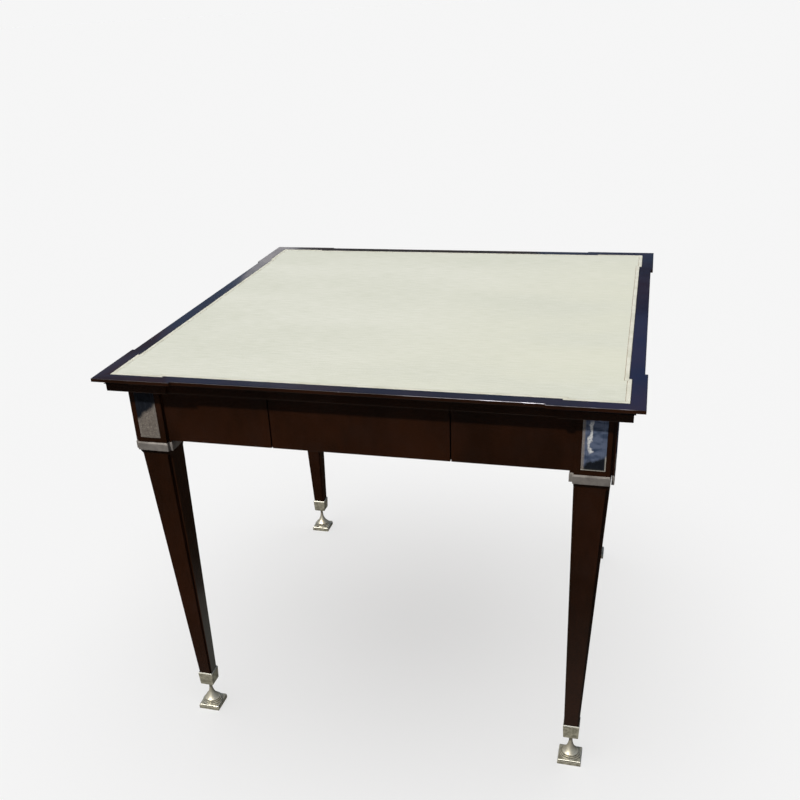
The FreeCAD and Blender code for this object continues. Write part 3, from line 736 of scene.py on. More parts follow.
# %% Mirror plates
def mirror_plate(name, grain):
    """Old mirror polish; grain is 0 for the smooth middle and 1 for the bevelled border."""
    paint = Finish(name)
    x, y, z = paint.axis("X"), paint.axis("Y"), paint.axis("Z")
    across = ((x * x) ** 0.5).smaller((y * y) ** 0.5) - PLATE_PLACE
    rise = (z - PLATE_LOW) / (PLATE_HIGH - PLATE_LOW)
    left = x.falling(-200 * MM, 200 * MM)
    right = 1.0 - left
    wave = paint.noise(10 * MM, 3.0, (2.0, 2.0, 0.8))
    wander = paint.noise(16 * MM, 3.0, (1.0, 1.0, 1.6)) - 0.5
    scratch = paint.noise(1.2 * MM, 4.0, (1.0, 1.0, 30.0), 0.7)
    grit = paint.noise(1.8 * MM, 3.0, roughness=0.7)

    # The painted reflection: slate on the right with a slanted dark foot, dark all over on the
    # left.
    colour = paint.mix(wave.rising(0.38, 0.62), SLATE, PALE_SLATE)
    foot = (rise - across * 4.0 + wander * 0.5).falling(0.12, 0.24) * right
    colour = paint.mix(foot + left, colour, DARK_FOOT)

    # Painted speckled light on the left, and along the inner edge of the border on the right.
    speckled_light = left * (rise + across * 9.0 + wander * 0.2).falling(0.50, 0.62)
    speckled_light = speckled_light.larger(right * across.falling(-15.0 * MM, -11.0 * MM) * grain)
    colour = paint.mix(speckled_light * (grit.rising(0.25, 0.60) * 0.7 + 0.3), colour, SPECKLED_LIGHT)
    colour = paint.mix(speckled_light * grit.rising(0.60, 0.70) * 0.6, colour, BRIGHT_SPECKLED_LIGHT)

    # Lines of light on the border, or the bright streak on the smooth middle.
    if grain:
        outer_edge = across.rising(18.0 * MM, 19.0 * MM) * rise.falling(0.24, 0.32)
        edges = outer_edge.larger(rise.falling(0.012, 0.024))
        colour = paint.mix(edges * right * 0.8, colour, EDGE_LIGHT)
    else:
        off_line = across + 3.5 * MM + wander * (28.0 * MM)
        ends = (rise + wander).rising(0.26, 0.34) * rise.falling(0.86, 0.97)
        line = (off_line * off_line).falling(STREAK_CORE ** 2, STREAK_END ** 2)
        colour = paint.mix(ends * line * grit.rising(0.25, 0.55) * right, colour, STREAK_LIGHT)
    colour = paint.mix(scratch.rising(0.50, 0.66) * 0.25, colour, (0.05, 0.06, 0.08))
    fine = paint.bump(grit, 0.05 * MM + 0.3 * MM * grain, 0.5)
    return paint.surface(colour, 0.12 + grain * 0.16 + speckled_light * 0.16,
                         paint.bump(wave, 1.2 * MM, 0.7, fine), metallic=0.6, coat_weight=0.2,
                         coat_roughness=0.05)


# %% Heights of the foot, where tarnish and painted shade gather
PLINTH_HEIGHT, GROOVE_HEIGHT, PLINTH_CAP_HEIGHT = 7.0 * MM, 1.0 * MM, 2.4 * MM
PLINTH_TOP = PLINTH_HEIGHT + GROOVE_HEIGHT + PLINTH_CAP_HEIGHT
# Radius and height of each ring, from the lowest up.
RINGS = ((20.0 * MM, 3.0 * MM), (17.6 * MM, 2.5 * MM), (15.4 * MM, 2.5 * MM))
FOOT_CORNERS = [PLINTH_HEIGHT, PLINTH_TOP]
for radius, ring_height in RINGS:
    FOOT_CORNERS.append(FOOT_CORNERS[-1] + ring_height)
print("corners of the foot, in mm:", ["%.1f" % (corner / MM) for corner in FOOT_CORNERS])

# %% The metals of this table
CAST_METAL = silvered_metal("silvered_cast_metal", (0.105, 0.095, 0.086),
                            (0.262, 0.239, 0.219), 0.60)
CAST_RIM = silvered_metal("collar_rim_metal", (0.100, 0.091, 0.082),
                          (0.25, 0.230, 0.210), 0.78, 0.6)
# The foot metal carries the tarnish, painted shade and painted highlights at its corners.
FOOT_METAL = silvered_metal("silvered_foot_metal", (0.12, 0.110, 0.08), (0.62, 0.59, 0.46), 0.40,
                            metallic=0.70, patches=8 * MM, corners=FOOT_CORNERS)
BELL_METAL = silvered_metal("silvered_bell_metal", (0.30, 0.265, 0.190),
                            (0.76, 0.71, 0.57), 0.42, 0.8, 0.80)
# Brighter metal that paints a highlight on rims and chamfers.
HIGHLIT_RIM_METAL = silvered_metal("highlit_rim_metal", (0.38, 0.37, 0.31), (0.60, 0.58, 0.50), 0.50, 0.4)
GRAINY_BORDER = mirror_plate("grainy_plaque_border", 1.0)
MIRROR = mirror_plate("mirror_plate", 0.0)

# %% [markdown]
# ## Leather, cloth and woods
# The playing face is a thin pale leather with a faint grain across the table, inside a cream
# border strip. Under the panel is the other playing face, green baize. The parts inside are
# planed wood, paler in the drawers. A real cloth weave would vanish at this size, so a fine
# noise stands for the nap, and long thin noise for the grain of leather and wood.

# %% Playing faces
def pale_leather():
    """Thin grain across the table, a few stained streaks and a warm tint to the right."""
    paint = Finish("pale_playing_leather")
    streak = paint.noise(3.5 * MM, 4.0, (9.0, 1.0, 1.0), 0.6)
    broad = paint.noise(160 * MM, 3.0, (2.2, 1.0, 1.0))
    grain = paint.noise(1.4 * MM, 2.0, (2.0, 1.0, 1.0))
    tone = (streak * 0.45 + grain * 0.30 + broad * 0.25).rising(0.32, 0.68)
    colour = paint.mix(tone, (0.690, 0.698, 0.575), (0.835, 0.832, 0.735))
    to_the_right = (paint.axis("X") - paint.axis("Y") * 0.3).rising(-150 * MM, 550 * MM)
    sunned = to_the_right * broad.rising(0.25, 0.60)
    colour = paint.mix(sunned * 0.45, colour, (0.760, 0.755, 0.585))
    mark = paint.noise(12 * MM, 5.0, (3.0, 1.0, 1.0), 0.75).rising(0.66, 0.74)
    colour = paint.mix(mark * 0.35, colour, (0.58, 0.59, 0.47))
    relief = paint.bump(streak * 0.7 + grain * 0.3, 0.18 * MM, 0.5)
    return paint.surface(colour, 0.52 + tone * 0.12, relief, specular_ior_level=0.25)


def cream_strip():
    """Smooth cream with a faint drift."""
    paint = Finish("cream_border_strip")
    tone = paint.noise(30 * MM, 4.0).rising(0.35, 0.65)
    colour = paint.mix(tone, (0.72, 0.70, 0.56), (0.84, 0.82, 0.69))
    return paint.surface(colour, 0.42, paint.bump(tone, 0.08 * MM, 0.4), specular_ior_level=0.3)


def green_baize():
    """Napped wool cloth."""
    paint = Finish("green_baize")
    nap = paint.noise(2.2 * MM, 5.0, roughness=0.8)
    shade = paint.noise(90 * MM, 3.0).rising(0.35, 0.65)
    colour = paint.mix(nap * 0.6 + shade * 0.4, (0.010, 0.075, 0.035), (0.030, 0.17, 0.085))
    return paint.surface(colour, 0.95, paint.bump(nap, 0.7 * MM, 0.8), specular_ior_level=0.1,
                         sheen_weight=0.35, sheen_roughness=0.45)


LEATHER = pale_leather()
CREAM = cream_strip()
BAIZE = green_baize()

# %% Woods
def planed_wood(name, dark, light, along):
    """Straight grain: stretched noise bends the year rings, and fine pores run with it."""
    paint = Finish(name)
    ring = paint.noise(16 * MM, 5.0, along, 0.62)
    pore = paint.noise(1.6 * MM, 3.0, tuple(14.0 if length > 1.0 else 1.0 for length in along),
                       0.7)
    colour = paint.mix((ring * 0.75 + pore * 0.25).rising(0.34, 0.66), dark, light)
    colour = paint.mix(pore.rising(0.60, 0.72) * 0.45, colour, dark)
    return paint.surface(colour, 0.5 + pore * 0.15, paint.bump(pore, 0.15 * MM, 0.5),
                         specular_ior_level=0.3)


ALONG = {"X": (12.0, 1.0, 1.0), "Y": (1.0, 12.0, 1.0)}
INNER_TONES = (0.20, 0.115, 0.058), (0.42, 0.27, 0.15)
DRAWER_TONES = (0.34, 0.22, 0.12), (0.58, 0.42, 0.26)
INNER_WOOD = {"X": planed_wood("inner_wood_across", *INNER_TONES, ALONG["X"]),
              "Y": planed_wood("inner_wood_deep", *INNER_TONES, ALONG["Y"])}
DRAWER_WOOD = {"X": planed_wood("drawer_wood_across", *DRAWER_TONES, ALONG["X"]),
               "Y": planed_wood("drawer_wood_deep", *DRAWER_TONES, ALONG["Y"])}

# %% [markdown]
# ## Handing a piece over
# A new piece has to be told three things: its finishes, the moving part that carries it and the
# solid that it stands for. One helper says them all, so that none is forgotten.

# %% Handing a piece over
def dress(piece, body, node, slot, *finishes):
    """Give a new piece its finishes, its body and the node it stands for; slot is not used."""
    for finish in finishes:
        piece.data.materials.append(finish)
    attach(piece, body)
    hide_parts(node)
    report(piece)


# %% [markdown]
# ## The plate with broken corners
# Seen from above, the top is a square whose four corners step forward a little. The moulded
# rails, the bearer, the recess and the panel all follow this outline, each set in by its own
# amount. Scaling one outline would scale the steps too. So one helper makes each: a square
# slab is sliced beside its corners, and the short side faces there are pushed out by the step.
# It all stays a hair inside the solid, whose box may not be passed, not even by a rounding
# error.

# %% Plate with broken corners
HAIR = 0.001 * MM
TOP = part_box("top_rail_front")[1].z - HAIR
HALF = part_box("top_rail_front")[1].x - HAIR
BREAK_STEP, BREAK_LENGTH = 4.5 * MM, 144.3 * MM
BREAK_PLACE = HALF - BREAK_LENGTH


def broken_plate(name, inset, low, high):
    """A slab with the outline of the top, set in by the same amount all round."""
    corner, place = HALF - inset, BREAK_PLACE + inset
    middle = corner - BREAK_STEP
    plate = start_box(name, (-middle, -middle, low), (middle, middle, high))
    with editing(plate):
        for way in (ACROSS, DEEP):
            for at in (-place, place):
                slice_at(way * at, way)
        choose_faces(lambda at, normal: abs(normal.z) < 0.5 and min(abs(at.x), abs(at.y)) > place)
        push_out(BREAK_STEP)
    return plate


def front_quarter(plate, inner):
    """Keep the front side between its two mitres, back to the inner edge."""
    with editing(plate):
        slice_at(Vector(), DEEP - ACROSS, drop_far_side=True)
        slice_at(Vector(), DEEP + ACROSS, drop_far_side=True)
        slice_at(DEEP * -inner, DEEP, drop_far_side=True)
    return plate


print("top is %.1f mm wide, and its corners step out %.1f mm" % (2 * HALF / MM, BREAK_STEP / MM))

# %% [markdown]
# ## Moulded top rails
# Each rail has a squared lip, a flat soffit under it and then a hollow, the cove, down to the
# bearer. The section could be swept round the outline, but the corners would need care. A
# bevel with a hollow profile along the lower edge makes the cove in one go, and the faces
# above it are pushed out for the lip. The recess is carved with a broken plate of its own. The
# edges are softened before the ring is cut at its mitres, so that no seam shows there.

# %% Top rails
LIP_HEIGHT = 6.0 * MM
SOFFIT_DEPTH = 8.5 * MM
COVE_RADIUS = 8.0 * MM
FRAME_BAND = 23.4 * MM
REBATE_DEPTH = 9.0 * MM
HOLLOW_PROFILE = 0.086
LACQUER_ROUND = 0.6 * MM
ARRIS_REACH = 1.0 * MM
TOP_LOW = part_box("top_rail_front")[0].z
RAIL_INNER = -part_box("top_rail_front")[1].y

rail = broken_plate("top_rail_front_moulded", SOFFIT_DEPTH, TOP_LOW, TOP)
with editing(rail):
    choose_sharp_edges(lambda at: at.z < TOP_LOW + TINY)
    bpy.ops.mesh.bevel(offset=COVE_RADIUS, segments=8, profile=HOLLOW_PROFILE, affect="EDGES",
                       clamp_overlap=False)
    choose_faces(lambda at, normal: abs(normal.z) < 0.1 and at.z > TOP - LIP_HEIGHT)
    push_out(SOFFIT_DEPTH)
carve(rail, broken_plate("recess", FRAME_BAND, TOP - REBATE_DEPTH, TOP + REBATE_DEPTH))
soften(rail, LACQUER_ROUND, 3)
front_quarter(rail, RAIL_INNER)
rail.data.materials.append(LACQUER)
rail.data.materials.append(ARRIS)
# The outermost upper rounding takes the arris finish, with its chips and painted highlight.
for face in rail.data.polygons:
    outermost = -face.center.y > HALF - BREAK_STEP - ARRIS_REACH
    if outermost and 0.2 < face.normal.z < 0.99 and face.center.z > TOP - ARRIS_REACH:
        face.material_index = 1
smooth(rail)
for side, piece in all_round(rail, "top_rail_%s_moulded").items():
    dress(piece, "table", "top_rail_" + side, "lacquered_wood")

# %% [markdown]
# ## Bearer frame
# Under the moulding lies a plain band with the same breaks. Its lower edge is rounded more
# than the others and catches a thin line of light, so that edge gets a bevel of its own.

# %% Bearers
BEARER_INSET = SOFFIT_DEPTH + COVE_RADIUS
BEARER_ROUND = 1.5 * MM
BEARER_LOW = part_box("top_bearer_front")[0].z
BEARER_INNER = -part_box("top_bearer_front")[1].y

bearer = broken_plate("top_bearer_front_band", BEARER_INSET, BEARER_LOW, TOP_LOW)
with editing(bearer):
    choose_sharp_edges(lambda at: at.z < BEARER_LOW + TINY)
    bpy.ops.mesh.bevel(offset=BEARER_ROUND, segments=4, affect="EDGES", clamp_overlap=False)
front_quarter(bearer, BEARER_INNER)
smooth(bearer)
for side, piece in all_round(bearer, "top_bearer_%s_band").items():
    dress(piece, "table", "top_bearer_" + side, "lacquered_wood", LACQUER)

# %% [markdown]
# ## Playing panel
# The panel is leather inside a narrow border. The leather is a thin broken plate with a soft
# edge. The border is a plate with a smaller plate carved out, of which one mitred side is
# copied round, as strips are laid in reality. A painted line between the two would look flat.
# A narrow gap reads as the dark tooled line.

# %% Panel
PANEL_GAP, BORDER_WIDTH, TOOLED_LINE = 0.4 * MM, 6.5 * MM, 0.5 * MM
LEATHER_ROUND, BORDER_ROUND = 0.35 * MM, 0.3 * MM
PANEL_INSET = FRAME_BAND + PANEL_GAP
FIELD_INSET = PANEL_INSET + BORDER_WIDTH
LEATHER_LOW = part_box("panel_leather")[0].z
PANEL_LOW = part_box("panel_lipping")[0].z

leather = broken_plate("panel_leather_field", FIELD_INSET + TOOLED_LINE, LEATHER_LOW, TOP)
soften(leather, LEATHER_ROUND)
dress(leather, "playing_panel", "panel_leather", "playing_leather", LEATHER)

border = broken_plate("panel_border", PANEL_INSET, PANEL_LOW, TOP)
carve(border, broken_plate("field", FIELD_INSET, PANEL_LOW - REBATE_DEPTH, TOP + REBATE_DEPTH))
front_quarter(border, HALF / 2)
soften(border, BORDER_ROUND)
border.data.materials.append(CREAM)
strips = [border] + [turned_copy(border, "strip", angle) for angle in (90, 180, 270)]
border = join(strips, "panel_border_strips")
dress(border, "playing_panel", "panel_lipping", "cream_lipping")
for piece in (leather, border):
    keep_from_key_lamp(piece)

# %% [markdown]
# ## Legs
# A leg is one piece of wood: a square block with a small square notch down each corner, and a
# tapered shaft whose notches stop short of the collar in a slant. Four cutters could carve the
# notches, but on a taper they would have to lean. Here a notched post is a box with each of
# its four sides pulled out, and shrinking its lower end makes taper and notches together. At
# the top the notches are closed by spreading the points beside them.

# %% Notched posts
FOUR_WAYS = (ACROSS, DEEP, -ACROSS, -DEEP)
NOTCH = 6.0 * MM
BLOCK_LOW, BLOCK_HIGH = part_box("leg_front_left")
BLOCK_OUTER, BLOCK_INNER = -BLOCK_LOW.x, -BLOCK_HIGH.x
BLOCK_WIDTH = BLOCK_OUTER - BLOCK_INNER
BLOCK_CENTRE = -(BLOCK_OUTER + BLOCK_INNER) / 2
COLLAR_LOW, BLOCK_BASE = (corner.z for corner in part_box("leg_collar_front_left"))


def square_box(name, centre, width, low, high):
    """A box on a square that lies on the table's diagonal."""
    return start_box(name, (centre - width / 2, centre - width / 2, low),
                     (centre + width / 2, centre + width / 2, high))


def notched_post(name, centre, width, low, high):
    """A square post with a notch down each corner."""
    core = width / 2 - NOTCH
    post = square_box(name, centre, 2 * core, low, high)
    middle = Vector((centre, centre, (low + high) / 2))
    with editing(post):
        for way in FOUR_WAYS:
            choose_faces(lambda at, normal: (at - middle - way * core).length < TINY)
            pull(way * NOTCH)
    return post


print("blocks are %.1f mm wide" % (BLOCK_WIDTH / MM))


# %% Shaft
SABOT_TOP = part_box("leg_sabot_front_left")[1].z
LEG_END = BLOCK_LOW.z
FOOT_CENTRE = sum(corner.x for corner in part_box("foot_front_left")) / 2
LEG_TOP_WIDTH, LEG_FOOT_WIDTH, LEG_END_WIDTH = 57.0 * MM, 27.4 * MM, 25.6 * MM
SHAFT_SETBACK = 4.5 * MM
STOP_BELOW_COLLAR, STOP_LENGTH, NOTCH_REST = 4.0 * MM, 8.0 * MM, 0.2 * MM
LEG_TOP_CENTRE = -BLOCK_OUTER + SHAFT_SETBACK + LEG_TOP_WIDTH / 2
NOTCH_STOP = COLLAR_LOW - STOP_BELOW_COLLAR
NOTCH_FULL = NOTCH_STOP - STOP_LENGTH
print("shaft tapers from %.1f to %.1f mm" % (LEG_TOP_WIDTH / MM, LEG_FOOT_WIDTH / MM))


def shaft_at(height):
    """Centre and width of the tapered shaft at a height."""
    share = (COLLAR_LOW - height) / (COLLAR_LOW - SABOT_TOP)
    return (LEG_TOP_CENTRE + (FOOT_CENTRE - LEG_TOP_CENTRE) * share,
            LEG_TOP_WIDTH + (LEG_FOOT_WIDTH - LEG_TOP_WIDTH) * share)


# %% Shaping a post from its ends
def reshape(height, old, new):
    """Move and stretch the points at a height from one centre and width to another."""
    choose_points(lambda at: abs(at.z - height) < TINY)
    shift((new[0] - old[0], new[0] - old[0], 0))
    ratio = new[1] / old[1]
    stretch((ratio, ratio, 1), (new[0], new[0], height))


def lengthen(height, rise, old, new):
    """Extrude the end face at a height, and give the new end its centre and width."""
    choose_faces(lambda at, normal: abs(at.z - height) < TINY and abs(normal.z) > 0.9)
    pull((0, 0, rise))
    reshape(height + rise, old, new)


# %% Tapering the shaft
full, foot_end = shaft_at(NOTCH_FULL), shaft_at(SABOT_TOP)
stopped, hidden = shaft_at(NOTCH_STOP), shaft_at(BLOCK_BASE)
shaft = notched_post("shaft", full[0], full[1], SABOT_TOP, NOTCH_FULL)
with editing(shaft):
    reshape(SABOT_TOP, full, foot_end)
    lengthen(SABOT_TOP, LEG_END - SABOT_TOP, foot_end, (FOOT_CENTRE, LEG_END_WIDTH))
    lengthen(NOTCH_FULL, NOTCH_STOP - NOTCH_FULL, full, stopped)
    beside_notch = (full[1] / 2 - NOTCH) * stopped[1] / full[1]
    spread = (stopped[1] / 2 - NOTCH_REST) / beside_notch
    for axis, factors in ((0, (spread, 1, 1)), (1, (1, spread, 1))):
        choose_points(lambda at: abs(at.z - NOTCH_STOP) < TINY
                      and abs(abs(at[axis] - stopped[0]) - beside_notch) < 10 * TINY)
        stretch(factors, (stopped[0], stopped[0], NOTCH_STOP))
    lengthen(NOTCH_STOP, BLOCK_BASE - NOTCH_STOP, stopped, hidden)
report(shaft)

# %% Block and shaft in one
leg = notched_post("leg_front_left_shaped", BLOCK_CENTRE, BLOCK_WIDTH, BLOCK_BASE, BLOCK_HIGH.z)
carve(leg, shaft, "UNION")
soften(leg, LACQUER_ROUND)
report(leg)

# %% [markdown]
# ## Plaques
# Each corner block carries a polished plate on both of its outer faces, let into the wood. The
# border is a bevel that slopes to the edge. An inset of the front face, moved forward, makes
# it at one width all round, which a scaled face wouldn't.

# %% Plaque places and recesses
PLAQUE_WIDTH, PLAQUE_HEIGHT = 37.6 * MM, 90.0 * MM
PLAQUE_SHIFT, PLAQUE_LIFT = 1.5 * MM, 2.7 * MM
PLAQUE_RECESS = 1.0 * MM
PLAQUE_EDGE = 0.7 * MM
PLAQUE_BEVEL, PLAQUE_RISE = 5.0 * MM, 0.8 * MM
RECESS_GAP = 0.25 * MM
CUTTER_REACH = 5.0 * MM
PLAQUE_PLACE = BLOCK_CENTRE - PLAQUE_SHIFT
PLAQUE_MIDDLE = (BLOCK_BASE + BLOCK_HIGH.z) / 2 + PLAQUE_LIFT


def plaque_box(name, place, back, front, gap=0.0):
    """A plaque, or its recess when a gap is given, from its back to its front."""
    half_width, half_height = PLAQUE_WIDTH / 2 + gap, PLAQUE_HEIGHT / 2 + gap
    return start_box(name, (place - half_width, -front, PLAQUE_MIDDLE - half_height),
                     (place + half_width, -back, PLAQUE_MIDDLE + half_height))


recess_floor, recess_mouth = BLOCK_OUTER - PLAQUE_RECESS, BLOCK_OUTER + CUTTER_REACH
carve(leg, plaque_box("recess", PLAQUE_PLACE, recess_floor, recess_mouth, RECESS_GAP))
side_recess = plaque_box("recess", -PLAQUE_PLACE, recess_floor, recess_mouth, RECESS_GAP)
side_recess.data.transform(Matrix.Rotation(math.radians(270), 4, "Z"))
carve(leg, side_recess)
smooth(leg)
for corner, piece in all_round(leg, "leg_%s_shaped", CORNERS).items():
    dress(piece, "table", "leg_" + corner, "lacquered_wood", LACQUER)

# %% Plaques
METAL_ROUND = 0.25 * MM
plates = []
for place in (PLAQUE_PLACE, -PLAQUE_PLACE):
    plate = plaque_box("plate", place, recess_floor, BLOCK_OUTER + PLAQUE_EDGE)
    with editing(plate):
        choose_faces(lambda at, normal: normal.y < -0.9)
        bpy.ops.mesh.inset(thickness=PLAQUE_BEVEL, depth=0)
        shift((0, -PLAQUE_RISE, 0))
    soften(plate, METAL_ROUND, angle=8)
    plate.data.materials.append(MIRROR)
    plate.data.materials.append(GRAINY_BORDER)
    for face in plate.data.polygons:
        face.material_index = 0 if face.normal.y < -0.9999 and face.area > 1e-4 else 1
    plates += [plate] + [turned_copy(plate, "plate", angle) for angle in (90, 180, 270)]
dress(join(plates, "plaques_polished"), "table", "plaques", "polished_metal")

# %% [markdown]
# ## Collars
# A cast collar closes the step between block and shaft. It follows the notches of the block
# and has a small bevel along its upper edge, which shows as a bright line. It is a notched
# post like the block, so it is made by the same helper, sliced below the bevel and drawn in
# above.

# %% Collars
COLLAR_BEVEL, COLLAR_SPREAD, COLLAR_PLAY = 3.0 * MM, 1.2 * MM, 0.3 * MM
COLLAR_WIDTH = BLOCK_WIDTH + 2 * COLLAR_SPREAD
collar = notched_post("leg_collar_front_left_cast", BLOCK_CENTRE, COLLAR_WIDTH, COLLAR_LOW,
                      BLOCK_BASE)
with editing(collar):
    slice_at(UP * (BLOCK_BASE - COLLAR_BEVEL), UP)
    reshape(BLOCK_BASE, (BLOCK_CENTRE, COLLAR_WIDTH), (BLOCK_CENTRE, BLOCK_WIDTH))
hole_centre, hole_width = shaft_at(BLOCK_BASE)
carve(collar, square_box("hole", hole_centre, hole_width + 2 * COLLAR_PLAY,
                         COLLAR_LOW - CUTTER_REACH, BLOCK_BASE + CUTTER_REACH))
soften(collar, METAL_ROUND, angle=20)
collar.data.materials.append(CAST_METAL)
collar.data.materials.append(CAST_RIM)
for face in collar.data.polygons:
    if 0.1 < face.normal.z < 0.95 and face.center.z > BLOCK_BASE - COLLAR_BEVEL:
        face.material_index = 1
for corner, piece in all_round(collar, "leg_collar_%s_cast", CORNERS).items():
    dress(piece, "table", "leg_collar_" + corner, "silvered_metal")

# %% [markdown]
# ## Caps on the leg ends
# A square metal cap, a sabot, shoes each leg. It widens slightly upwards, has a chamfer below
# and a bevelled rim above, with a painted highlight on it. It is hollow, because the leg stands
# in it, so its top face is inset and pushed down inside. All of it is one box whose ends are
# extruded step by step.

# %% Sabots
SABOT_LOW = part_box("leg_sabot_front_left")[0].z
SABOT_WIDTH, SABOT_TOP_WIDTH = 27.6 * MM, 30.0 * MM
SABOT_RIM = SABOT_CHAMFER = 2.0 * MM
RIM_REACH = SABOT_RIM + 0.3 * MM
SABOT_PLAY = 0.2 * MM


def square_end(width):
    return (FOOT_CENTRE, width)


sabot = square_box("leg_sabot_front_left_cap", FOOT_CENTRE, SABOT_WIDTH,
                   SABOT_LOW + SABOT_CHAMFER, SABOT_TOP - SABOT_RIM)
mouth = LEG_FOOT_WIDTH + SABOT_PLAY
rim = mouth + SABOT_PLAY
with editing(sabot):
    reshape(SABOT_TOP - SABOT_RIM, square_end(SABOT_WIDTH), square_end(SABOT_TOP_WIDTH))
    lengthen(SABOT_LOW + SABOT_CHAMFER, -SABOT_CHAMFER, square_end(SABOT_WIDTH),
             square_end(SABOT_WIDTH - SABOT_CHAMFER))
    lengthen(SABOT_TOP - SABOT_RIM, SABOT_RIM, square_end(SABOT_TOP_WIDTH), square_end(rim))
    choose_faces(lambda at, normal: at.z > SABOT_TOP - TINY)
    bpy.ops.mesh.inset(thickness=SABOT_PLAY / 2, depth=0)
    pull((0, 0, LEG_END - SABOT_TOP))
    stretch((LEG_END_WIDTH / LEG_FOOT_WIDTH, LEG_END_WIDTH / LEG_FOOT_WIDTH, 1),
            (FOOT_CENTRE, FOOT_CENTRE, LEG_END))
soften(sabot, METAL_ROUND, angle=25)
sabot.data.materials.append(FOOT_METAL)
sabot.data.materials.append(HIGHLIT_RIM_METAL)
# The bevelled rim takes the painted highlight.
for face in sabot.data.polygons:
    if face.normal.z > 0.1 and face.center.z > SABOT_TOP - RIM_REACH:
        face.material_index = 1
for corner, piece in all_round(sabot, "leg_sabot_%s_cap", CORNERS).items():
    dress(piece, "table", "leg_sabot_" + corner, "silvered_metal")

# %% [markdown]
# ## Feet
# Each foot is one casting: a square plinth with a groove round it, three stepped rings, a bell
# that narrows to a thin neck, and a small seat under the cap. The rings and the bell could be
# spun from a profile. Raising the top face of a disc again and again gives the same faces, and
# each step can be read as a height and a radius. The plinth is a box treated the same way, and
# the bell's curve comes from many short steps on an arc.

# %% Plinth
PLINTH_WIDTH, GROOVE_DEPTH, PLINTH_CHAMFER = 43.5 * MM, 1.2 * MM, 0.9 * MM
plinth = square_box("foot_front_left_cast", FOOT_CENTRE, PLINTH_WIDTH, 0.0, PLINTH_HEIGHT)
with editing(plinth):
    choose_faces(lambda at, normal: normal.z > 0.9)
    bpy.ops.mesh.inset(thickness=GROOVE_DEPTH, depth=0)
    pull((0, 0, GROOVE_HEIGHT))
    pull((0, 0, 0))
    ratio = (PLINTH_WIDTH - GROOVE_DEPTH) / (PLINTH_WIDTH - 2 * GROOVE_DEPTH)
    stretch((ratio, ratio, 1), (FOOT_CENTRE, FOOT_CENTRE, PLINTH_HEIGHT + GROOVE_HEIGHT))
    pull((0, 0, PLINTH_CAP_HEIGHT))
    choose_sharp_edges(lambda at: at.z > PLINTH_TOP - TINY)
    bpy.ops.mesh.bevel(offset=PLINTH_CHAMFER, segments=1, affect="EDGES")
soften(plinth, METAL_ROUND, angle=40)
report(plinth)

# %% Sizes of the bell and the neck
BELL_RADIUS, NECK_RADIUS, SEAT_RADIUS = 14.6 * MM, 3.2 * MM, 4.2 * MM
BELL_CURVE = 42.0 * MM
NECK_DROP, NECK_LENGTH = 4.0 * MM, 9.0 * MM
BELL_STEPS = 16


def bell_radii(low, high):
    """Radii of the bell from its foot to the neck, on an arc that bows inwards."""
    start, end = Vector((BELL_RADIUS, low)), Vector((NECK_RADIUS, high))
    chord = end - start
    outward = Vector((chord.y, -chord.x)).normalized()
    to_centre = math.sqrt(BELL_CURVE ** 2 - (chord.length / 2) ** 2)
    centre = (start + end) / 2 + outward * to_centre
    steps = []
    for number in range(1, BELL_STEPS + 1):
        height = low + (high - low) * number / BELL_STEPS
        steps.append((centre.x - math.sqrt(BELL_CURVE ** 2 - (height - centre.y) ** 2), height))
    return steps


print("bell narrows from %.1f to %.1f mm radius" % (BELL_RADIUS / MM, NECK_RADIUS / MM))


# %% Turning the rings, the bell and the neck
SUNK_IN_PLINTH = 1.0 * MM
TURNING_ROUND = 0.3 * MM
turning = start_disc("turning", (FOOT_CENTRE, FOOT_CENTRE), RINGS[0][0],
                     PLINTH_TOP - SUNK_IN_PLINTH, PLINTH_TOP + RINGS[0][1], 64)


def raise_top(height, radius, rise, new_radius):
    """Lift the end face of the turning to a new height and radius."""
    choose_faces(lambda at, normal: abs(at.z - height) < TINY and normal.z > 0.9
                 and (at.xy - Vector((FOOT_CENTRE, FOOT_CENTRE))).length < TINY)
    pull((0, 0, rise))
    ratio = new_radius / radius
    stretch((ratio, ratio, 1), (FOOT_CENTRE, FOOT_CENTRE, height + rise))


with editing(turning):
    height, radius = PLINTH_TOP + RINGS[0][1], RINGS[0][0]
    for new_radius, rise in RINGS[1:] + ((BELL_RADIUS, 0.0),):
        raise_top(height, radius, 0.0, new_radius)
        if rise:
            raise_top(height, new_radius, rise, new_radius)
        height, radius = height + rise, new_radius
    height_of_rings = height
    neck_high = SABOT_LOW - NECK_DROP
    for new_radius, new_height in bell_radii(height, neck_high - NECK_LENGTH):
        raise_top(height, radius, new_height - height, new_radius)
        height, radius = new_height, new_radius
    raise_top(height, radius, NECK_LENGTH, NECK_RADIUS)
    raise_top(neck_high, NECK_RADIUS, NECK_DROP, SEAT_RADIUS)
soften(turning, TURNING_ROUND, angle=50)
report(turning)

# %% Foot
carve(plinth, turning, "UNION")
smooth(plinth, angle=40)
plinth.data.materials.append(FOOT_METAL)
plinth.data.materials.append(HIGHLIT_RIM_METAL)
plinth.data.materials.append(BELL_METAL)
# Rings and bell take the bell metal, and the plinth's chamfer the painted highlight.
for face in plinth.data.polygons:
    if face.center.z > height_of_rings + TINY:
        face.material_index = 2
    elif PLINTH_TOP - PLINTH_CHAMFER < face.center.z < PLINTH_TOP and 0.5 < face.normal.z < 0.9:
        face.material_index = 1
for corner, piece in all_round(plinth, "foot_%s_cast", CORNERS).items():
    dress(piece, "table", "foot_" + corner, "silvered_metal")

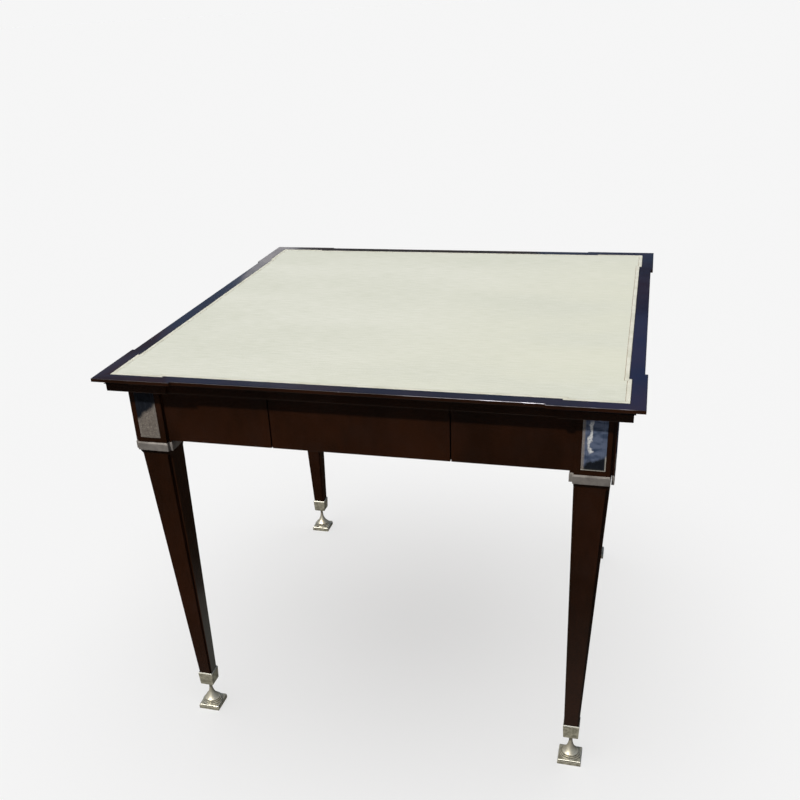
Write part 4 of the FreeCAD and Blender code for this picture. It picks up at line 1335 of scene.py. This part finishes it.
# %% [markdown]
# ## Aprons and drawer fronts
# The three boards of each side lie in one plane, a little behind the face of the leg blocks.
# Only the fine seams show that the middle one is a drawer. It has no handle: its lower edge is
# hollowed at the back for the fingers, which one long cylinder carves. A panel with grooves
# would look the same when closed, but this one has to open.

# %% Aprons
OPENING_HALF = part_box("apron_front_right")[0].x
APRON_FACE = -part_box("apron_front_right")[0].y
APRON_BACK = -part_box("apron_front_right")[1].y
APRON_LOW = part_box("apron_front_right")[0].z
BOARD_ROUND, SEAM_REACH = 0.9 * MM, 1.5 * MM


def finish_board(board):
    """Smooth a board and give its roundings beside the seams their shaded finish."""
    smooth(board)
    board.data.materials.append(LACQUER)
    board.data.materials.append(SEAM)
    for face in board.data.polygons:
        beside_seam = abs(abs(face.center.x) - OPENING_HALF) < SEAM_REACH
        # The deep roundings beside a seam take the painted shade.
        if beside_seam and abs(face.normal.x) > 0.6 and face.center.y < -APRON_BACK:
            face.material_index = 1


for hand, reach in (("left", (-BLOCK_INNER, -OPENING_HALF)),
                    ("right", (OPENING_HALF, BLOCK_INNER))):
    board = start_box("apron_front_%s_board" % hand, (reach[0], -APRON_FACE, APRON_LOW),
                      (reach[1], -APRON_BACK, BEARER_LOW))
    with editing(board):
        choose_sharp_edges(lambda at: abs(abs(at.x) - OPENING_HALF) < TINY
                           or at.z < APRON_LOW + TINY)
        bpy.ops.mesh.bevel(offset=BOARD_ROUND, segments=3, affect="EDGES")
    finish_board(board)
    for side, piece in all_round(board, "apron_%s_" + hand + "_board").items():
        dress(piece, "table", "apron_%s_%s" % (side, hand), "lacquered_wood")

# %% Drawer fronts
GRIP_RADIUS, GRIP_LENGTH, GRIP_HEIGHT = 7.0 * MM, 220.0 * MM, 9.0 * MM
front_low, front_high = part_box("drawer_front_front")
front = start_box("drawer_front_front_board", front_low, front_high)
with editing(front):
    choose_sharp_edges(lambda at: True)
    bpy.ops.mesh.bevel(offset=BOARD_ROUND, segments=3, affect="EDGES")
grip = start_disc("grip", (0, 0), GRIP_RADIUS, -GRIP_LENGTH / 2, GRIP_LENGTH / 2, 40)
grip.data.transform(Matrix.Rotation(math.radians(90), 4, "Y"))
grip.data.transform(Matrix.Translation((0, -APRON_BACK, APRON_LOW + GRIP_HEIGHT)))
carve(front, grip)
finish_board(front)
for side, piece in all_round(front, "drawer_front_%s_board").items():
    dress(piece, side + "_drawer", "drawer_front_" + side, "lacquered_wood")

# %% [markdown]
# ## Drawer boxes
# Behind each front is a box of pale wood: two sides, grooved for the bottom, and a back that
# stands on the bottom between them. Hands reach in over the top edges, so these are rounded
# over, and the rest is only eased. Two bevels of different width say that better than one.

# %% Drawer sides and backs
TOP_EDGE_ROUND, EDGE_EASE = 2.5 * MM, 0.5 * MM
# Which way the grain runs, along a side of the table and away from it.
GRAIN = {"front": ("X", "Y"), "back": ("X", "Y"), "left": ("Y", "X"), "right": ("Y", "X")}
box_low, box_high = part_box("drawer_sides_front")
back_low, back_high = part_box("drawer_back_front")
bottom_low, bottom_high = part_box("drawer_bottom_front")


def rounded_board(name, low, high):
    """A board with its top edges rounded over."""
    board = start_box(name, low, high)
    with editing(board):
        choose_sharp_edges(lambda at: at.z > high[2] - TINY)
        bpy.ops.mesh.bevel(offset=TOP_EDGE_ROUND, segments=4, affect="EDGES")
    return board


box_sides = []
for low_x, high_x in ((box_low.x, back_low.x), (back_high.x, box_high.x)):
    box_side = rounded_board("box_side", (low_x, box_low.y, box_low.z),
                             (high_x, box_high.y, box_high.z))
    carve(box_side, start_box("groove", (bottom_low.x, box_low.y - CUTTER_REACH, bottom_low.z),
                              (bottom_high.x, box_high.y + CUTTER_REACH, bottom_high.z)))
    box_sides.append(soften(box_side, EDGE_EASE))
box_sides = join(box_sides, "drawer_sides_front_boards")
box_back = soften(rounded_board("drawer_back_front_board", back_low, back_high), EDGE_EASE)
for side, piece in all_round(box_sides, "drawer_sides_%s_boards").items():
    finish = DRAWER_WOOD[GRAIN[side][1]]
    dress(piece, side + "_drawer", "drawer_sides_" + side, "drawer_wood", finish)
for side, piece in all_round(box_back, "drawer_back_%s_board").items():
    finish = DRAWER_WOOD[GRAIN[side][0]]
    dress(piece, side + "_drawer", "drawer_back_" + side, "drawer_wood", finish)

# %% [markdown]
# ## Parts that keep their solid shape
# The drawer bottoms, the cross rails and the bars inside are plain boards that hardly show.
# Modelling them again would add nothing, so their solids stay and only take a finish, with the
# grain along each board.

# %% Finishes for the plain boards
def refinish(node, finish):
    """Give a solid of the frame a finish in place of its plain colour."""
    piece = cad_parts[node]
    if not piece.material_slots:
        piece.data.materials.append(finish)
    for place in piece.material_slots:
        place.material = finish


for side in SIDES:
    refinish("cross_rail_" + side, INNER_WOOD[GRAIN[side][0]])
    refinish("drawer_bottom_" + side, DRAWER_WOOD[GRAIN[side][0]])
for node in ("runner_bars", "drawer_guides", "drawer_stops"):
    refinish(node, INNER_WOOD["Y"])
refinish("panel_core", INNER_WOOD["X"])
refinish("panel_baize", BAIZE)
print("finished", len(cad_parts), "nodes or their stand-ins")
